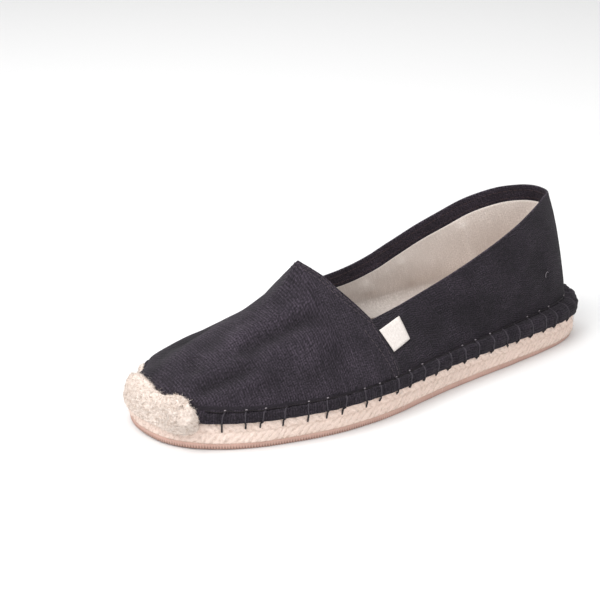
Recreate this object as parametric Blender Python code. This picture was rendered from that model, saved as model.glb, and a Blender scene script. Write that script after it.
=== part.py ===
"""Left canvas espadrille: rubber outsole, braided jute midsole, hollow canvas upper, jute toe cap, insole, side tab.

Metres, +Z up. +X points to the toe and +Y to the shoe's outer side. The origin is the centre of the shoe's
footprint box, on the floor.
"""

import math
from collections import namedtuple

import bpy
import numpy as np

# Sole
SOLE_LENGTH = 0.250
BALL_WIDTH = 0.089
HEEL_WIDTH = 0.060
RUBBER_THICKNESS = 0.0039
RUBBER_INSET = 0.0010
RUBBER_CHAMFER = 0.0005
TOE_SPRING = 0.0010
BRAID_HEIGHT = 0.0092
BRAID_ROWS = 2
BRAID_BULGE = 0.0007

# Upper
CANVAS_WALL = 0.0016
HEEL_HEIGHT = 0.0760
SIDE_HEIGHT = 0.0430
INSTEP_HEIGHT = 0.0660
COLLAR_WIDTH = 0.0516
COLLAR_SHIFT = -0.0010
COLLAR_BACK = 0.0175
CORNER_STATION = 0.1450
SEAM_FOOT_STATION = 0.1380
THROAT_STATION = 0.1650
THROAT_LATERAL = 0.0315
THROAT_MEDIAL = 0.0245
RIDGE_Y = -0.0020
BAND_HEIGHT = 0.0085
BAND_PROUD = 0.0012
LEDGE_DEPTH = 0.0058
VAMP_LAP = 0.0008
SEAM_STEP = 0.0006
HEM_WIDTH = 0.0065
HEM_LAP = 0.0005

# Toe cap
CAP_THICKNESS = 0.0055
CAP_HEIGHT = 0.0125
CAP_LATERAL_REACH = 0.0150
CAP_MEDIAL_REACH = 0.0230
CAP_PROUD = 0.0028
CAP_TUCK = 0.0090
CAP_CLEARANCE = 0.0008
CAP_RIM_THINNING = 0.45
CAP_END_THINNING = 0.40
CAP_SWELL = 0.35
CAP_BELLY = 0.75
CAP_END_DROP = 0.95
CAP_END_POWER = 5
CAP_END_ROUNDING = 0.25
CAP_RIM_POWER = 8
CAP_FLANK_POWER = 12

# Insole and side tab
INSOLE_THICKNESS = 0.0018
TAB_WIDTH = 0.0118
TAB_HEIGHT = 0.0120
TAB_DROP = 0.0068
TAB_SLOPE = 0.0030
TAB_THICKNESS = 0.0005

CLEARANCE = 0.0003

# Facets
SIDE_COLUMNS = 22
VAMP_COLUMNS = 22
WALL_ROWS = 9
PATH_STEPS = 40
CAP_ROWS = 11
CAP_END_GAP = 0.35
TAB_FACETS = 4

# Sole outline: station is a share of the length, the rest are shares of the local half width
Outline = namedtuple("Outline", "station lateral medial")
OUTLINE = (
    Outline(0.012, 0.39, 0.39),
    Outline(0.040, 0.68, 0.67),
    Outline(0.088, 0.865, 0.845),
    Outline(0.160, 0.99, 0.95),
    Outline(0.240, 1.09, 0.99),
    Outline(0.320, 1.17, 0.99),
    Outline(0.400, 1.156, 0.907),
    Outline(0.480, 1.108, 0.826),
    Outline(0.560, 1.088, 0.808),
    Outline(0.640, 1.070, 0.850),
    Outline(0.712, 1.052, 0.917),
    Outline(0.780, 0.984, 0.928),
    Outline(0.840, 0.900, 0.865),
    Outline(0.896, 0.768, 0.765),
    Outline(0.940, 0.612, 0.662),
    Outline(0.972, 0.425, 0.530),
    Outline(0.992, 0.205, 0.360),
)
TOE_TIP_SHARE = -0.085
WAIST_START = 0.30
WAIST_END = 0.65

# Turned edge: station is a share of the length, ledge of LEDGE_DEPTH, band of BAND_HEIGHT
Edge = namedtuple("Edge", "station ledge band")
EDGE = (
    Edge(0.00, 1.00, 0.88),
    Edge(0.05, 1.00, 0.90),
    Edge(0.15, 0.80, 0.90),
    Edge(0.30, 0.50, 0.84),
    Edge(0.50, 0.25, 0.74),
    Edge(0.65, 0.12, 0.68),
    Edge(0.85, 0.10, 0.60),
    Edge(1.00, 0.10, 0.55),
)

# Profile of the turned edge: out and in are shares of BAND_PROUD and of the ledge, rise of the band's height
Turn = namedtuple("Turn", "proud ledge rise")
TURN = (
    Turn(1.00, 0.00, 0.00),
    Turn(1.12, 0.00, 0.40),
    Turn(1.00, 0.02, 0.78),
    Turn(0.00, 0.35, 1.02),
    Turn(0.00, 1.00, 1.00),
)

# Collar, from the heel forward: station runs from COLLAR_BACK to the corner, half is a share of half the
# collar width, height runs from SIDE_HEIGHT to HEEL_HEIGHT
Collar = namedtuple("Collar", "station half height")
COLLAR = (
    Collar(0.016, 0.25, 1.00),
    Collar(0.070, 0.44, 0.995),
    Collar(0.147, 0.66, 0.945),
    Collar(0.264, 0.87, 0.81),
    Collar(0.380, 0.96, 0.64),
    Collar(0.496, 1.00, 0.48),
    Collar(0.612, 0.99, 0.315),
    Collar(0.729, 0.98, 0.165),
    Collar(0.845, 1.01, 0.05),
)

# Ridge of the vamp: reach is the share of the way from toe to throat, height a share of the instep's rise,
# square how boxy the section is there, and round how gently it turns over the ridge
Ridge = namedtuple("Ridge", "reach height square round")
RIDGE = (
    Ridge(0.000, 0.000, 0.75, 2.2),
    Ridge(0.054, 0.085, 0.72, 2.2),
    Ridge(0.128, 0.172, 0.66, 2.2),
    Ridge(0.275, 0.300, 0.55, 2.1),
    Ridge(0.423, 0.392, 0.46, 2.0),
    Ridge(0.620, 0.500, 0.36, 1.9),
    Ridge(0.767, 0.605, 0.30, 1.8),
    Ridge(0.890, 0.760, 0.26, 1.6),
    Ridge(0.950, 0.885, 0.25, 1.5),
    Ridge(1.000, 1.000, 0.25, 1.4),
    Ridge(1.300, 1.010, 0.25, 1.4),
)
MEDIAL_SQUARE = 0.72
MEDIAL_ROUND = 0.82
CROWN_POWER = 1.2
WALL_LEAN_POWER = 1.6
CORNER_FADE = 2.5

# Throat edge, from corner to ridge: along is the share of the way across, forward of the way to the throat
Throat = namedtuple("Throat", "across forward")
THROAT = (
    Throat(0.43, 0.50),
    Throat(0.62, 0.66),
    Throat(0.82, 0.87),
)

Sole = namedtuple("Sole", "points outward")
Canvas = namedtuple("Canvas", "grid normals outer crease_row seam_lateral seam_medial")


def smoothstep(value):
    value = np.clip(value, 0.0, 1.0)
    return value * value * (3.0 - 2.0 * value)


def table(rows, column, where):
    """Value of a table's column, smooth between its rows."""
    stations = [row[0] for row in rows]
    values = [getattr(row, column) for row in rows]
    return smooth_interp(where, stations, values)


def smooth_interp(where, stations, values):
    """Cubic through the rows, with slopes held so that it never overshoots them."""
    x = np.asarray(stations, float)
    y = np.asarray(values, float)
    step = np.diff(x)
    rise = np.diff(y) / step
    slope = np.zeros(len(x))
    slope[0] = rise[0]
    slope[-1] = rise[-1]
    for i in range(1, len(x) - 1):
        if rise[i - 1] * rise[i] > 0.0:
            slope[i] = 2.0 * rise[i - 1] * rise[i] / (rise[i - 1] + rise[i])
    w = np.clip(np.asarray(where, float), x[0], x[-1])
    i = np.clip(np.searchsorted(x, w) - 1, 0, len(x) - 2)
    t = (w - x[i]) / step[i]
    a = (1.0 + 2.0 * t) * (1.0 - t) ** 2 * y[i] + t * (1.0 - t) ** 2 * step[i] * slope[i]
    b = t * t * (3.0 - 2.0 * t) * y[i + 1] + t * t * (t - 1.0) * step[i] * slope[i + 1]
    return a + b


def spline(points, closed, steps=12):
    """Smooth curve through points, as a dense polyline."""
    points = np.asarray(points, float)
    if closed:
        ends = np.vstack([points[-1:], points, points[:2]])
    else:
        first = 2.0 * points[0] - points[1]
        last = 2.0 * points[-1] - points[-2]
        ends = np.vstack([first[None], points, last[None]])
    dense = []
    for a, b, c, d in zip(ends[:-3], ends[1:-2], ends[2:-1], ends[3:]):
        for t in np.arange(steps) / steps:
            square = 2.0 * a - 5.0 * b + 4.0 * c - d
            cube = 3.0 * b - a - 3.0 * c + d
            dense.append(0.5 * (2.0 * b + (c - a) * t + square * t * t + cube * t ** 3))
    if not closed:
        dense.append(points[-1])
    return np.array(dense)


def lengths(path):
    """Distance along a polyline at each of its points."""
    return np.concatenate([[0.0], np.cumsum(np.linalg.norm(np.diff(path, axis=0), axis=1))])


def along(path, distances):
    """Points of a polyline at the given distances from its start."""
    total = lengths(path)
    return np.stack([np.interp(distances, total, path[:, i]) for i in range(path.shape[1])], axis=1)


def half_width(station):
    """Half width that the outline's shares refer to, from the heel's to the ball's."""
    blend = smoothstep((station - WAIST_START) / (WAIST_END - WAIST_START))
    return 0.5 * (HEEL_WIDTH + (BALL_WIDTH - HEEL_WIDTH) * blend)


def outline_side(column, sign):
    """One side of the sole's outline, from the heel's back to the toe's tip."""
    rows = [(0.0, 0.0)]
    rows += [(r.station * SOLE_LENGTH, sign * getattr(r, column) * half_width(r.station)) for r in OUTLINE]
    rows.append((SOLE_LENGTH, TOE_TIP_SHARE * 0.5 * BALL_WIDTH))
    return rows


def outline_curve():
    """Closed outline as two dense polylines, lateral and medial, each from heel to toe."""
    lateral = outline_side("lateral", 1.0)
    medial = outline_side("medial", -1.0)
    steps = 12
    ring = spline(lateral + medial[-2:0:-1], True, steps)
    toe = (len(lateral) - 1) * steps
    return ring[: toe + 1], np.vstack([ring[toe:], ring[:1]])[::-1]


def distance_at_station(path, station):
    """Distance along one side of the outline where it passes a station."""
    widest = np.argmax(path[:, 0])
    return float(np.interp(station, path[: widest + 1, 0], lengths(path)[: widest + 1]))


def side_distances(path):
    """Column distances along one side: heel to seam, the seam's step, and seam to toe."""
    seam = distance_at_station(path, SEAM_FOOT_STATION)
    quarter = np.linspace(0.0, seam, SIDE_COLUMNS + 1)
    vamp = np.linspace(seam + SEAM_STEP, lengths(path)[-1], VAMP_COLUMNS + 1)
    return np.concatenate([quarter, vamp])


def make_sole():
    """Columns round the sole, heel to toe along the lateral side and back along the medial side."""
    lateral, medial = outline_curve()
    first = along(lateral, side_distances(lateral))
    second = along(medial, side_distances(medial))
    points = np.vstack([first, second[-2:0:-1]])
    ring = np.vstack([lateral, medial[-2:0:-1]])
    middle = ring.mean(axis=0)
    outward = []
    for point in points:
        near = int(np.argmin(np.linalg.norm(ring - point, axis=1)))
        ahead = ring[(near + 4) % len(ring)] - ring[near - 4]
        normal = np.array([ahead[1], -ahead[0]]) / np.linalg.norm(ahead)
        outward.append(normal if normal @ (point - middle) > 0.0 else -normal)
    return Sole(points, np.array(outward))


def toe_tuck(sole):
    """For each column, how far the canvas is drawn in under the toe cap, from 0 to 1."""
    tuck = []
    for (station, _), outward in zip(sole.points, sole.outward):
        start = SOLE_LENGTH - (CAP_LATERAL_REACH if outward[1] > 0.0 else CAP_MEDIAL_REACH)
        tuck.append(smoothstep((station - start - CLEARANCE) / CAP_TUCK))
    return np.array(tuck)


def edge_values(sole):
    """Band height, ledge depth and skirt offset of each column."""
    station = sole.points[:, 0] / SOLE_LENGTH
    tuck = toe_tuck(sole)
    drawn = CAP_THICKNESS + CLEARANCE - CAP_PROUD
    band = BAND_HEIGHT * table(EDGE, "band", station)
    ledge = LEDGE_DEPTH * table(EDGE, "ledge", station) + tuck * (drawn + CLEARANCE)
    skirt = BAND_PROUD - tuck * (BAND_PROUD + drawn)
    return band, ledge, skirt


def band_foot():
    return RUBBER_THICKNESS + BRAID_HEIGHT


def crease_points(sole):
    """Line where the turned edge meets the wall of the upper."""
    band, ledge, _ = edge_values(sole)
    plan = sole.points - sole.outward * ledge[:, None]
    return np.column_stack([plan, band_foot() + band])


def collar_curve(sign, corner):
    """One side of the collar, from the heel's back to the corner of the throat."""
    reach = CORNER_STATION - COLLAR_BACK
    rise = HEEL_HEIGHT - SIDE_HEIGHT
    rows = [(COLLAR_BACK, COLLAR_SHIFT, HEEL_HEIGHT)]
    for r in COLLAR:
        y = COLLAR_SHIFT + sign * r.half * 0.5 * COLLAR_WIDTH
        rows.append((COLLAR_BACK + r.station * reach, y, SIDE_HEIGHT + r.height * rise))
    rows.append(tuple(corner))
    mirrored = (rows[1][0], 2.0 * COLLAR_SHIFT - rows[1][1], rows[1][2])
    return spline([mirrored] + rows, False)[12:]


class Vamp:
    """Height of the vamp over the plan, from its ridge, its crease line and how square its section is."""

    def __init__(self, crease, toe):
        self.lateral = crease[: toe + 1]
        self.medial = np.vstack([crease[toe:], crease[:1]])[::-1]
        self.tip = float(crease[toe, 0])

    def height(self, x, y):
        """Height above the floor at a plan point."""
        reach = (self.tip - x) / (self.tip - THROAT_STATION)
        root = np.sqrt(max(reach, 0.0))
        ridge = smooth_interp(root, np.sqrt([r.reach for r in RIDGE]), [r.height for r in RIDGE])
        square = table(RIDGE, "square", reach) * (1.0 if y > RIDGE_Y else MEDIAL_SQUARE)
        rounding = table(RIDGE, "round", reach) * (1.0 if y > RIDGE_Y else MEDIAL_ROUND)
        side = self.lateral if y > RIDGE_Y else self.medial
        foot = side_at(side, x)
        across = min(abs(y - RIDGE_Y) / max(abs(foot[1] - RIDGE_Y), 1e-6), 1.0)
        crown = (1.0 - across ** rounding) ** CROWN_POWER
        wall = math.sqrt(1.0 - across ** 4)
        share = (1.0 - square) * crown + square * wall
        base = foot[2]
        return base + (INSTEP_HEIGHT - base) * ridge * share


def side_at(side, x):
    """Point of one side of a line round the shoe at a station."""
    widest = int(np.argmax(side[:, 0]))
    part = side[: widest + 1]
    order = np.maximum.accumulate(part[:, 0])
    return np.array([x, np.interp(x, order, part[:, 1]), np.interp(x, order, part[:, 2])])


def throat_curve(sign, vamp):
    """One side of the throat's edge, from its corner to the ridge."""
    corner_y = RIDGE_Y + (THROAT_LATERAL if sign > 0.0 else -THROAT_MEDIAL)
    plan = [(CORNER_STATION, corner_y)]
    for r in THROAT:
        x = CORNER_STATION + r.forward * (THROAT_STATION - CORNER_STATION)
        plan.append((x, corner_y + r.across * (RIDGE_Y - corner_y)))
    plan.append((THROAT_STATION, RIDGE_Y))
    mirrored = (plan[-2][0], 2.0 * RIDGE_Y - plan[-2][1])
    dense = spline(plan + [mirrored], False)[: -12]
    heights = np.array([vamp.height(x, y) for x, y in dense])
    fade = 1.0 - np.linspace(0.0, 1.0, len(dense))
    heights += (SIDE_HEIGHT - heights[0]) * fade ** CORNER_FADE
    return np.column_stack([dense, heights])


def quarter_path(foot, top):
    """Wall of the quarter from the crease to the collar, upright at its foot and leaning in above."""
    rise = np.linspace(0.0, 1.0, PATH_STEPS)
    plan = foot[:2] + (top[:2] - foot[:2]) * (rise ** WALL_LEAN_POWER)[:, None]
    return np.column_stack([plan, foot[2] + (top[2] - foot[2]) * rise])


def vamp_path(foot, top, vamp):
    """Wall of the vamp from the crease to the throat, over the vamp's height."""
    share = 1.0 - np.cos(np.linspace(0.0, 0.5 * np.pi, 3 * PATH_STEPS))
    plan = foot[:2] + (top[:2] - foot[:2]) * share[:, None]
    heights = np.array([vamp.height(x, y) for x, y in plan])
    heights += (foot[2] - heights[0]) * (1.0 - share) ** CORNER_FADE
    heights += (top[2] - heights[-1]) * share ** CORNER_FADE
    return np.column_stack([plan, heights])


def wall_fractions(length):
    """Row places along a wall path: even up to the hem, then the hem's step and the edge."""
    body = np.linspace(0.0, length - HEM_WIDTH - HEM_LAP, WALL_ROWS + 1)[1:]
    return np.concatenate([body, [length - HEM_WIDTH, length]])


def make_canvas(sole):
    """Outer face of the upper as a grid of columns round the shoe and rows from the skirt to the top edge."""
    count = len(sole.points)
    toe = count // 2
    band, ledge, skirt = edge_values(sole)
    crease = crease_points(sole)
    vamp = Vamp(crease, toe)
    columns = [None] * count
    for sign in (1.0, -1.0):
        throat = throat_curve(sign, vamp)
        collar = collar_curve(sign, throat[0])
        throat_places = np.linspace(0.0, lengths(throat)[-1], VAMP_COLUMNS + 1)
        collar_places = np.linspace(0.0, lengths(collar)[-1], SIDE_COLUMNS + 1)
        throat_places[0] = min(SEAM_STEP, 0.5 * throat_places[1])
        tops = np.vstack([along(collar, collar_places), along(throat, throat_places)])
        for step, top in enumerate(tops):
            column = step if sign > 0.0 else (count - step) % count
            if columns[column] is not None:
                continue
            foot = crease[column]
            if step <= SIDE_COLUMNS:
                path = quarter_path(foot, top)
            else:
                path = vamp_path(foot, top, vamp)
            wall = along(path, wall_fractions(lengths(path)[-1]))
            columns[column] = np.vstack([turned_edge(sole, column, band, ledge, skirt), wall])
    grid = np.array(columns)
    normals = grid_normals(grid)
    seams = (SIDE_COLUMNS, count - SIDE_COLUMNS)
    crease_row = len(TURN) - 1
    outer = grid + normals * step_offsets(grid, crease_row, seams)[:, :, None]
    return Canvas(grid, normals, outer, crease_row, *seams)


def turned_edge(sole, column, band, ledge, skirt):
    """Rows of one column from the skirt's lower edge, over the turned edge, to the crease."""
    rows = []
    for turn in TURN:
        proud = turn.proud if turn.ledge < 0.1 else 1.0 - turn.ledge
        offset = skirt[column] * proud - ledge[column] * turn.ledge
        if turn.ledge == 1.0:
            offset = -ledge[column]
        plan = sole.points[column] + sole.outward[column] * offset
        rows.append((plan[0], plan[1], band_foot() + turn.rise * band[column]))
    return rows


def grid_normals(grid):
    """Outward unit normals of a grid that is closed round the shoe."""
    around = np.roll(grid, -1, axis=0) - np.roll(grid, 1, axis=0)
    up = np.empty_like(grid)
    up[:, 1:-1] = grid[:, 2:] - grid[:, :-2]
    up[:, 0] = grid[:, 1] - grid[:, 0]
    up[:, -1] = grid[:, -1] - grid[:, -2]
    normals = np.cross(up, around)
    return normals / np.linalg.norm(normals, axis=2)[:, :, None]


def step_offsets(grid, crease_row, seams):
    """Extra thickness outwards of each grid point: the vamp's lap over the quarters and the collar's hem."""
    extra = np.zeros(grid.shape[:2])
    lateral, medial = seams
    extra[lateral + 1 : medial, crease_row + 1 :] = VAMP_LAP
    extra[: lateral + 1, -2:] = HEM_LAP
    extra[medial:, -2:] = HEM_LAP
    return extra


def lift(points):
    """Bends points up towards the toe by the toe spring."""
    start = 0.8 * SOLE_LENGTH
    share = np.clip((points[..., 0] - start) / (SOLE_LENGTH - start), 0.0, None)
    lifted = points.copy()
    lifted[..., 2] += TOE_SPRING * share ** 2
    return lifted


def ring_faces(rings, closed=True):
    """Quads between rings, each ring a list of vertex numbers."""
    faces = []
    for low, high in zip(rings[:-1], rings[1:]):
        count = len(low)
        for i in range(count if closed else count - 1):
            j = (i + 1) % count
            faces.append((low[i], high[i], high[j], low[j]))
    return faces


def lid_faces(ring):
    """Quads across a ring, from each lateral point to its medial partner."""
    count = len(ring)
    faces = [(ring[0], ring[1], ring[count - 1])]
    for i in range(1, count // 2 - 1):
        faces.append((ring[i], ring[i + 1], ring[count - i - 1], ring[count - i]))
    middle = count // 2
    faces.append((ring[middle - 1], ring[middle], ring[middle + 1]))
    return faces


def solid_from_rings(levels):
    """Vertices and faces of a closed solid from rings listed bottom to top, closed by flat lids."""
    count = len(levels[0])
    rings = [list(range(i * count, (i + 1) * count)) for i in range(len(levels))]
    faces = ring_faces(rings) + lid_faces(rings[0]) + [tuple(reversed(f)) for f in lid_faces(rings[-1])]
    return np.vstack(levels), faces


def sole_ring(sole, offset, height):
    """A ring round the sole, moved out by offset and set at a height, each one value or one per column."""
    offset = np.broadcast_to(offset, len(sole.points))
    height = np.broadcast_to(height, len(sole.points))
    return np.column_stack([sole.points + sole.outward * offset[:, None], height])


def make_outsole(sole):
    rings = [
        sole_ring(sole, -RUBBER_INSET - RUBBER_CHAMFER, 0.0),
        sole_ring(sole, -RUBBER_INSET, RUBBER_CHAMFER),
        sole_ring(sole, -RUBBER_INSET, RUBBER_THICKNESS),
    ]
    return solid_from_rings(rings)


def midsole_top(sole):
    """Height of the midsole's top at each column, under the turned edge."""
    band, _, _ = edge_values(sole)
    return band_foot() + band - CANVAS_WALL - 1.5 * CLEARANCE


def make_midsole(sole):
    """Braided rows round the side, a shelf under the canvas and the cap, and the top inside the canvas."""
    skirt = edge_values(sole)[2]
    foot = RUBBER_THICKNESS + CLEARANCE
    shelf = band_foot() - CLEARANCE
    row_height = (shelf - foot) / BRAID_ROWS
    rings = [sole_ring(sole, -RUBBER_INSET - BRAID_BULGE, foot)]
    for row in range(BRAID_ROWS):
        base = foot + row * row_height
        for share, bulge in ((0.12, 0.0), (0.5, 1.0), (0.88, 0.0)):
            rings.append(sole_ring(sole, (bulge - 1.0) * BRAID_BULGE, base + share * row_height))
    inner = skirt - CANVAS_WALL - 2.0 * CLEARANCE
    rings.append(sole_ring(sole, -1.5 * BRAID_BULGE, shelf))
    rings.append(sole_ring(sole, inner, shelf + CLEARANCE))
    top = midsole_top(sole)
    rings.append(sole_ring(sole, inner, top - 1.5 * CANVAS_WALL))
    rings.append(sole_ring(sole, inner - CANVAS_WALL, top))
    return solid_from_rings(rings)


def make_insole(sole):
    """Thin sheet on the midsole, inside the wall of the upper."""
    _, ledge, _ = edge_values(sole)
    inset = -(ledge + CANVAS_WALL + 4.0 * CLEARANCE)
    foot = midsole_top(sole) + CLEARANCE
    edge = 2.0 * CLEARANCE
    rings = [
        sole_ring(sole, inset - edge, foot),
        sole_ring(sole, inset, foot + edge),
        sole_ring(sole, inset - edge, foot + INSOLE_THICKNESS),
    ]
    return solid_from_rings(rings)


def make_upper(canvas):
    """Hollow canvas wall: outer face with its steps, inner face one wall thickness inside it."""
    outer = canvas.outer
    inner = canvas.grid - canvas.normals * CANVAS_WALL
    inner[:, 0, 2] = outer[:, 0, 2]
    columns, rows = outer.shape[:2]
    loop = np.concatenate([outer, inner[:, ::-1]], axis=1)
    rings = [[column * 2 * rows + row for column in range(columns)] for row in range(2 * rows)]
    faces = ring_faces(rings + rings[:1])
    return loop.reshape(-1, 3), faces


def sample(canvas, column, distance, from_top=False):
    """Point and normal of the upper's outer face at a fractional column and a distance along its rows."""
    low = int(math.floor(column))
    share = column - low
    found = []
    for index, weight in ((low, 1.0 - share), (low + 1, share)):
        path = canvas.outer[index % len(canvas.grid)]
        normals = canvas.normals[index % len(canvas.grid)]
        total = lengths(path)
        place = total[-1] - distance if from_top else distance
        point = along(path, [place])[0]
        normal = np.array([np.interp(place, total, normals[:, i]) for i in range(3)])
        found.append((point * weight, normal * weight))
    point = found[0][0] + found[1][0]
    normal = found[0][1] + found[1][1]
    return point, normal / np.linalg.norm(normal)


def column_at_station(sole, station, sign):
    """Fractional column on one side of the toe where the outline passes a station."""
    count = len(sole.points)
    steps = range(count // 2 + 1)
    columns = [step if sign > 0.0 else count - step for step in steps]
    xs = [sole.points[column % count][0] for column in columns]
    return float(np.interp(station, xs, columns))


def make_toe_cap(sole, canvas):
    """Shell of wound jute over the front of the vamp, thick at its middle and rounded down at its rim."""
    first = column_at_station(sole, SOLE_LENGTH - CAP_LATERAL_REACH, 1.0)
    last = column_at_station(sole, SOLE_LENGTH - CAP_MEDIAL_REACH, -1.0)
    inner_columns = [c for c in range(len(sole.points)) if first + CAP_END_GAP < c < last - CAP_END_GAP]
    places = [first] + inner_columns + [last]
    shell = []
    for place in places:
        across = 2.0 * (place - first) / (last - first) - 1.0
        height = CAP_HEIGHT * (1.0 - CAP_END_DROP * abs(across) ** CAP_END_POWER) ** CAP_END_ROUNDING
        inner = []
        outer = []
        for row in range(CAP_ROWS):
            share = row / (CAP_ROWS - 1)
            point, normal = sample(canvas, place, share * height)
            rim = 1.0 - CAP_RIM_THINNING * share ** CAP_RIM_POWER
            end = 1.0 - CAP_END_THINNING * abs(across) ** CAP_FLANK_POWER
            swell = 1.0 - CAP_SWELL + CAP_SWELL * math.sin(CAP_BELLY * math.pi * share)
            inner.append(point + normal * CAP_CLEARANCE)
            outer.append(point + normal * (CAP_CLEARANCE + CAP_THICKNESS * rim * end * swell))
        shell.append(outer + inner[::-1])
    loop = np.array(shell)
    columns, around = loop.shape[:2]
    faces = []
    for column in range(columns - 1):
        for i in range(around):
            j = (i + 1) % around
            base = column * around
            faces.append((base + i, base + j, base + around + j, base + around + i))
    for column, flip in ((0, False), (columns - 1, True)):
        base = column * around
        for row in range(CAP_ROWS - 1):
            face = (base + row, base + row + 1, base + around - 2 - row, base + around - 1 - row)
            faces.append(face if flip else face[::-1])
    return loop.reshape(-1, 3), faces


def make_side_tab(canvas):
    """Bare woven tab on the lateral quarter, its front edge at the vamp's seam."""
    seam = canvas.seam_lateral
    top = canvas.grid[:, -1]
    spacing = float(np.linalg.norm(top[seam] - top[seam - 1]))
    columns = rows = TAB_FACETS
    faces_grid = []
    for lifted in (CLEARANCE + TAB_THICKNESS, CLEARANCE):
        layer = []
        for i in range(columns):
            place = seam - (CLEARANCE + i / (columns - 1) * TAB_WIDTH) / spacing
            for j in range(rows):
                slope = TAB_SLOPE * (1.0 - i / (columns - 1))
                drop = TAB_DROP + slope + j / (rows - 1) * TAB_HEIGHT
                point, normal = sample(canvas, place, drop, from_top=True)
                layer.append(point + normal * lifted)
        faces_grid.append(layer)
    points = np.array(faces_grid[0] + faces_grid[1])
    size = columns * rows
    faces = []
    for i in range(columns - 1):
        for j in range(rows - 1):
            a = i * rows + j
            quad = (a, a + 1, a + rows + 1, a + rows)
            faces.append(quad)
            faces.append(tuple(size + n for n in reversed(quad)))
    border = list(range(rows))
    border += [(i + 1) * rows - 1 for i in range(1, columns)]
    border += [(columns - 1) * rows + j for j in range(rows - 2, -1, -1)]
    border += [i * rows for i in range(columns - 2, 0, -1)]
    for a, b in zip(border, border[1:] + border[:1]):
        faces.append((b, a, size + a, size + b))
    return points, faces


def make_material(name, colour, roughness):
    material = bpy.data.materials.new(name)
    material.use_nodes = True
    shader = material.node_tree.nodes["Principled BSDF"]
    shader.inputs["Base Color"].default_value = (*colour, 1.0)
    shader.inputs["Roughness"].default_value = roughness
    shader.inputs["Metallic"].default_value = 0.0
    return material


def make_object(name, points, faces, material):
    mesh = bpy.data.meshes.new(name)
    mesh.from_pydata([tuple(p) for p in points], [], faces)
    mesh.materials.append(material)
    mesh.shade_smooth()
    mesh.set_sharp_from_angle(angle=math.radians(50.0))
    mesh.update()
    part = bpy.data.objects.new(name, mesh)
    bpy.context.scene.collection.objects.link(part)
    return part


def main():
    for old in list(bpy.data.objects):
        bpy.data.objects.remove(old, do_unlink=True)
    sole = make_sole()
    canvas = make_canvas(sole)
    rubber = make_material("vulcanised_rubber", (0.45, 0.25, 0.19), 0.65)
    jute = make_material("braided_jute", (0.80, 0.66, 0.50), 0.90)
    wound = make_material("wound_jute", (0.84, 0.72, 0.60), 0.90)
    cotton = make_material("black_canvas", (0.020, 0.018, 0.021), 0.85)
    lining = make_material("cream_cotton", (0.62, 0.55, 0.46), 0.90)
    tape = make_material("white_tape", (0.80, 0.79, 0.76), 0.80)
    shapes = {
        "outsole": (make_outsole(sole), rubber),
        "midsole": (make_midsole(sole), jute),
        "upper": (make_upper(canvas), cotton),
        "insole": (make_insole(sole), lining),
        "toe_cap": (make_toe_cap(sole, canvas), wound),
        "side_tab": (make_side_tab(canvas), tape),
    }
    lifted = {name: lift(shape[0]) for name, (shape, _) in shapes.items()}
    corners = np.vstack(list(lifted.values()))
    low = corners.min(axis=0)
    high = corners.max(axis=0)
    centre = np.array([0.5 * (low[0] + high[0]), 0.5 * (low[1] + high[1]), low[2]])
    for name, (shape, material) in shapes.items():
        make_object(name, lifted[name] - centre, shape[1], material)


main()
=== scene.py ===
"""Dresses the left canvas espadrille: canvas, lining, jute, toe cap, rubber, tab, threads and fibres.

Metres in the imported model's frame: +X to the toe, +Y to the shoe's outer side, +Z up. The shoe's own sizes
are measured from the back of its heel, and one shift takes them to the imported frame.
"""

import logging
import math
from dataclasses import dataclass, field
from enum import Enum, IntEnum
from typing import NamedTuple, Sequence

import bmesh
import bpy
import numpy as np
from mathutils import Matrix, Vector
from mathutils.bvhtree import BVHTree


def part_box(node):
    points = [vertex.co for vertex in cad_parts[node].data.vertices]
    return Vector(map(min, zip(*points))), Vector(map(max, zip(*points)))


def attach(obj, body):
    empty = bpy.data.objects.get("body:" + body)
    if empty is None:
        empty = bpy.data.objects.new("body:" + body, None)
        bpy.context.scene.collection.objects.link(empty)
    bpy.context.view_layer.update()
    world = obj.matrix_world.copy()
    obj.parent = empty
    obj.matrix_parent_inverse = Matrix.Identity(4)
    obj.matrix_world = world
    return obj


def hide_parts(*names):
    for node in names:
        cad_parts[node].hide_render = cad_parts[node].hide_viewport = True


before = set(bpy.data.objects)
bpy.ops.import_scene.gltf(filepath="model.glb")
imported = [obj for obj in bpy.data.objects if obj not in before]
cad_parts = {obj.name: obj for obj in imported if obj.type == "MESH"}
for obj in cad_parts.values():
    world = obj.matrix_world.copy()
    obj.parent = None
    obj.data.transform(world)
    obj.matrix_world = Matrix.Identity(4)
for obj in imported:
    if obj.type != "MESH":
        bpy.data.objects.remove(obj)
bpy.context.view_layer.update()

logging.basicConfig(level=logging.INFO, format="%(name)s: %(message)s")
LOG = logging.getLogger("espadrille")

MM = 0.001
TINY = 1e-12
RAY_START = 0.2
SPLINE_STEPS = 12
Array = np.ndarray
Socket = bpy.types.NodeSocket
Node = bpy.types.Node
Tree = bpy.types.NodeTree
Material = bpy.types.Material
Piece = bpy.types.Object


class OutlineRow(NamedTuple):
    """Outline of the sole: share of the length, then shares of the local half width."""

    station: float
    lateral: float
    medial: float


class EdgeRow(NamedTuple):
    """Turned edge: share of the length, then shares of the ledge's depth and the band's height."""

    station: float
    ledge: float
    band: float


class TurnRow(NamedTuple):
    """Profile of the turned edge: shares of its proudness, of the ledge and of the band's height."""

    proud: float
    ledge: float
    rise: float


class CollarRow(NamedTuple):
    """Collar: shares of its reach, of half its width and of its rise."""

    station: float
    half: float
    height: float


class RidgeRow(NamedTuple):
    """Vamp: shares of the way from toe to throat and of the instep's rise, how boxy and how round it is."""

    reach: float
    height: float
    square: float
    rounding: float


class ThroatRow(NamedTuple):
    """Throat edge: shares of the way across and of the way forward."""

    across: float
    forward: float


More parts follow.
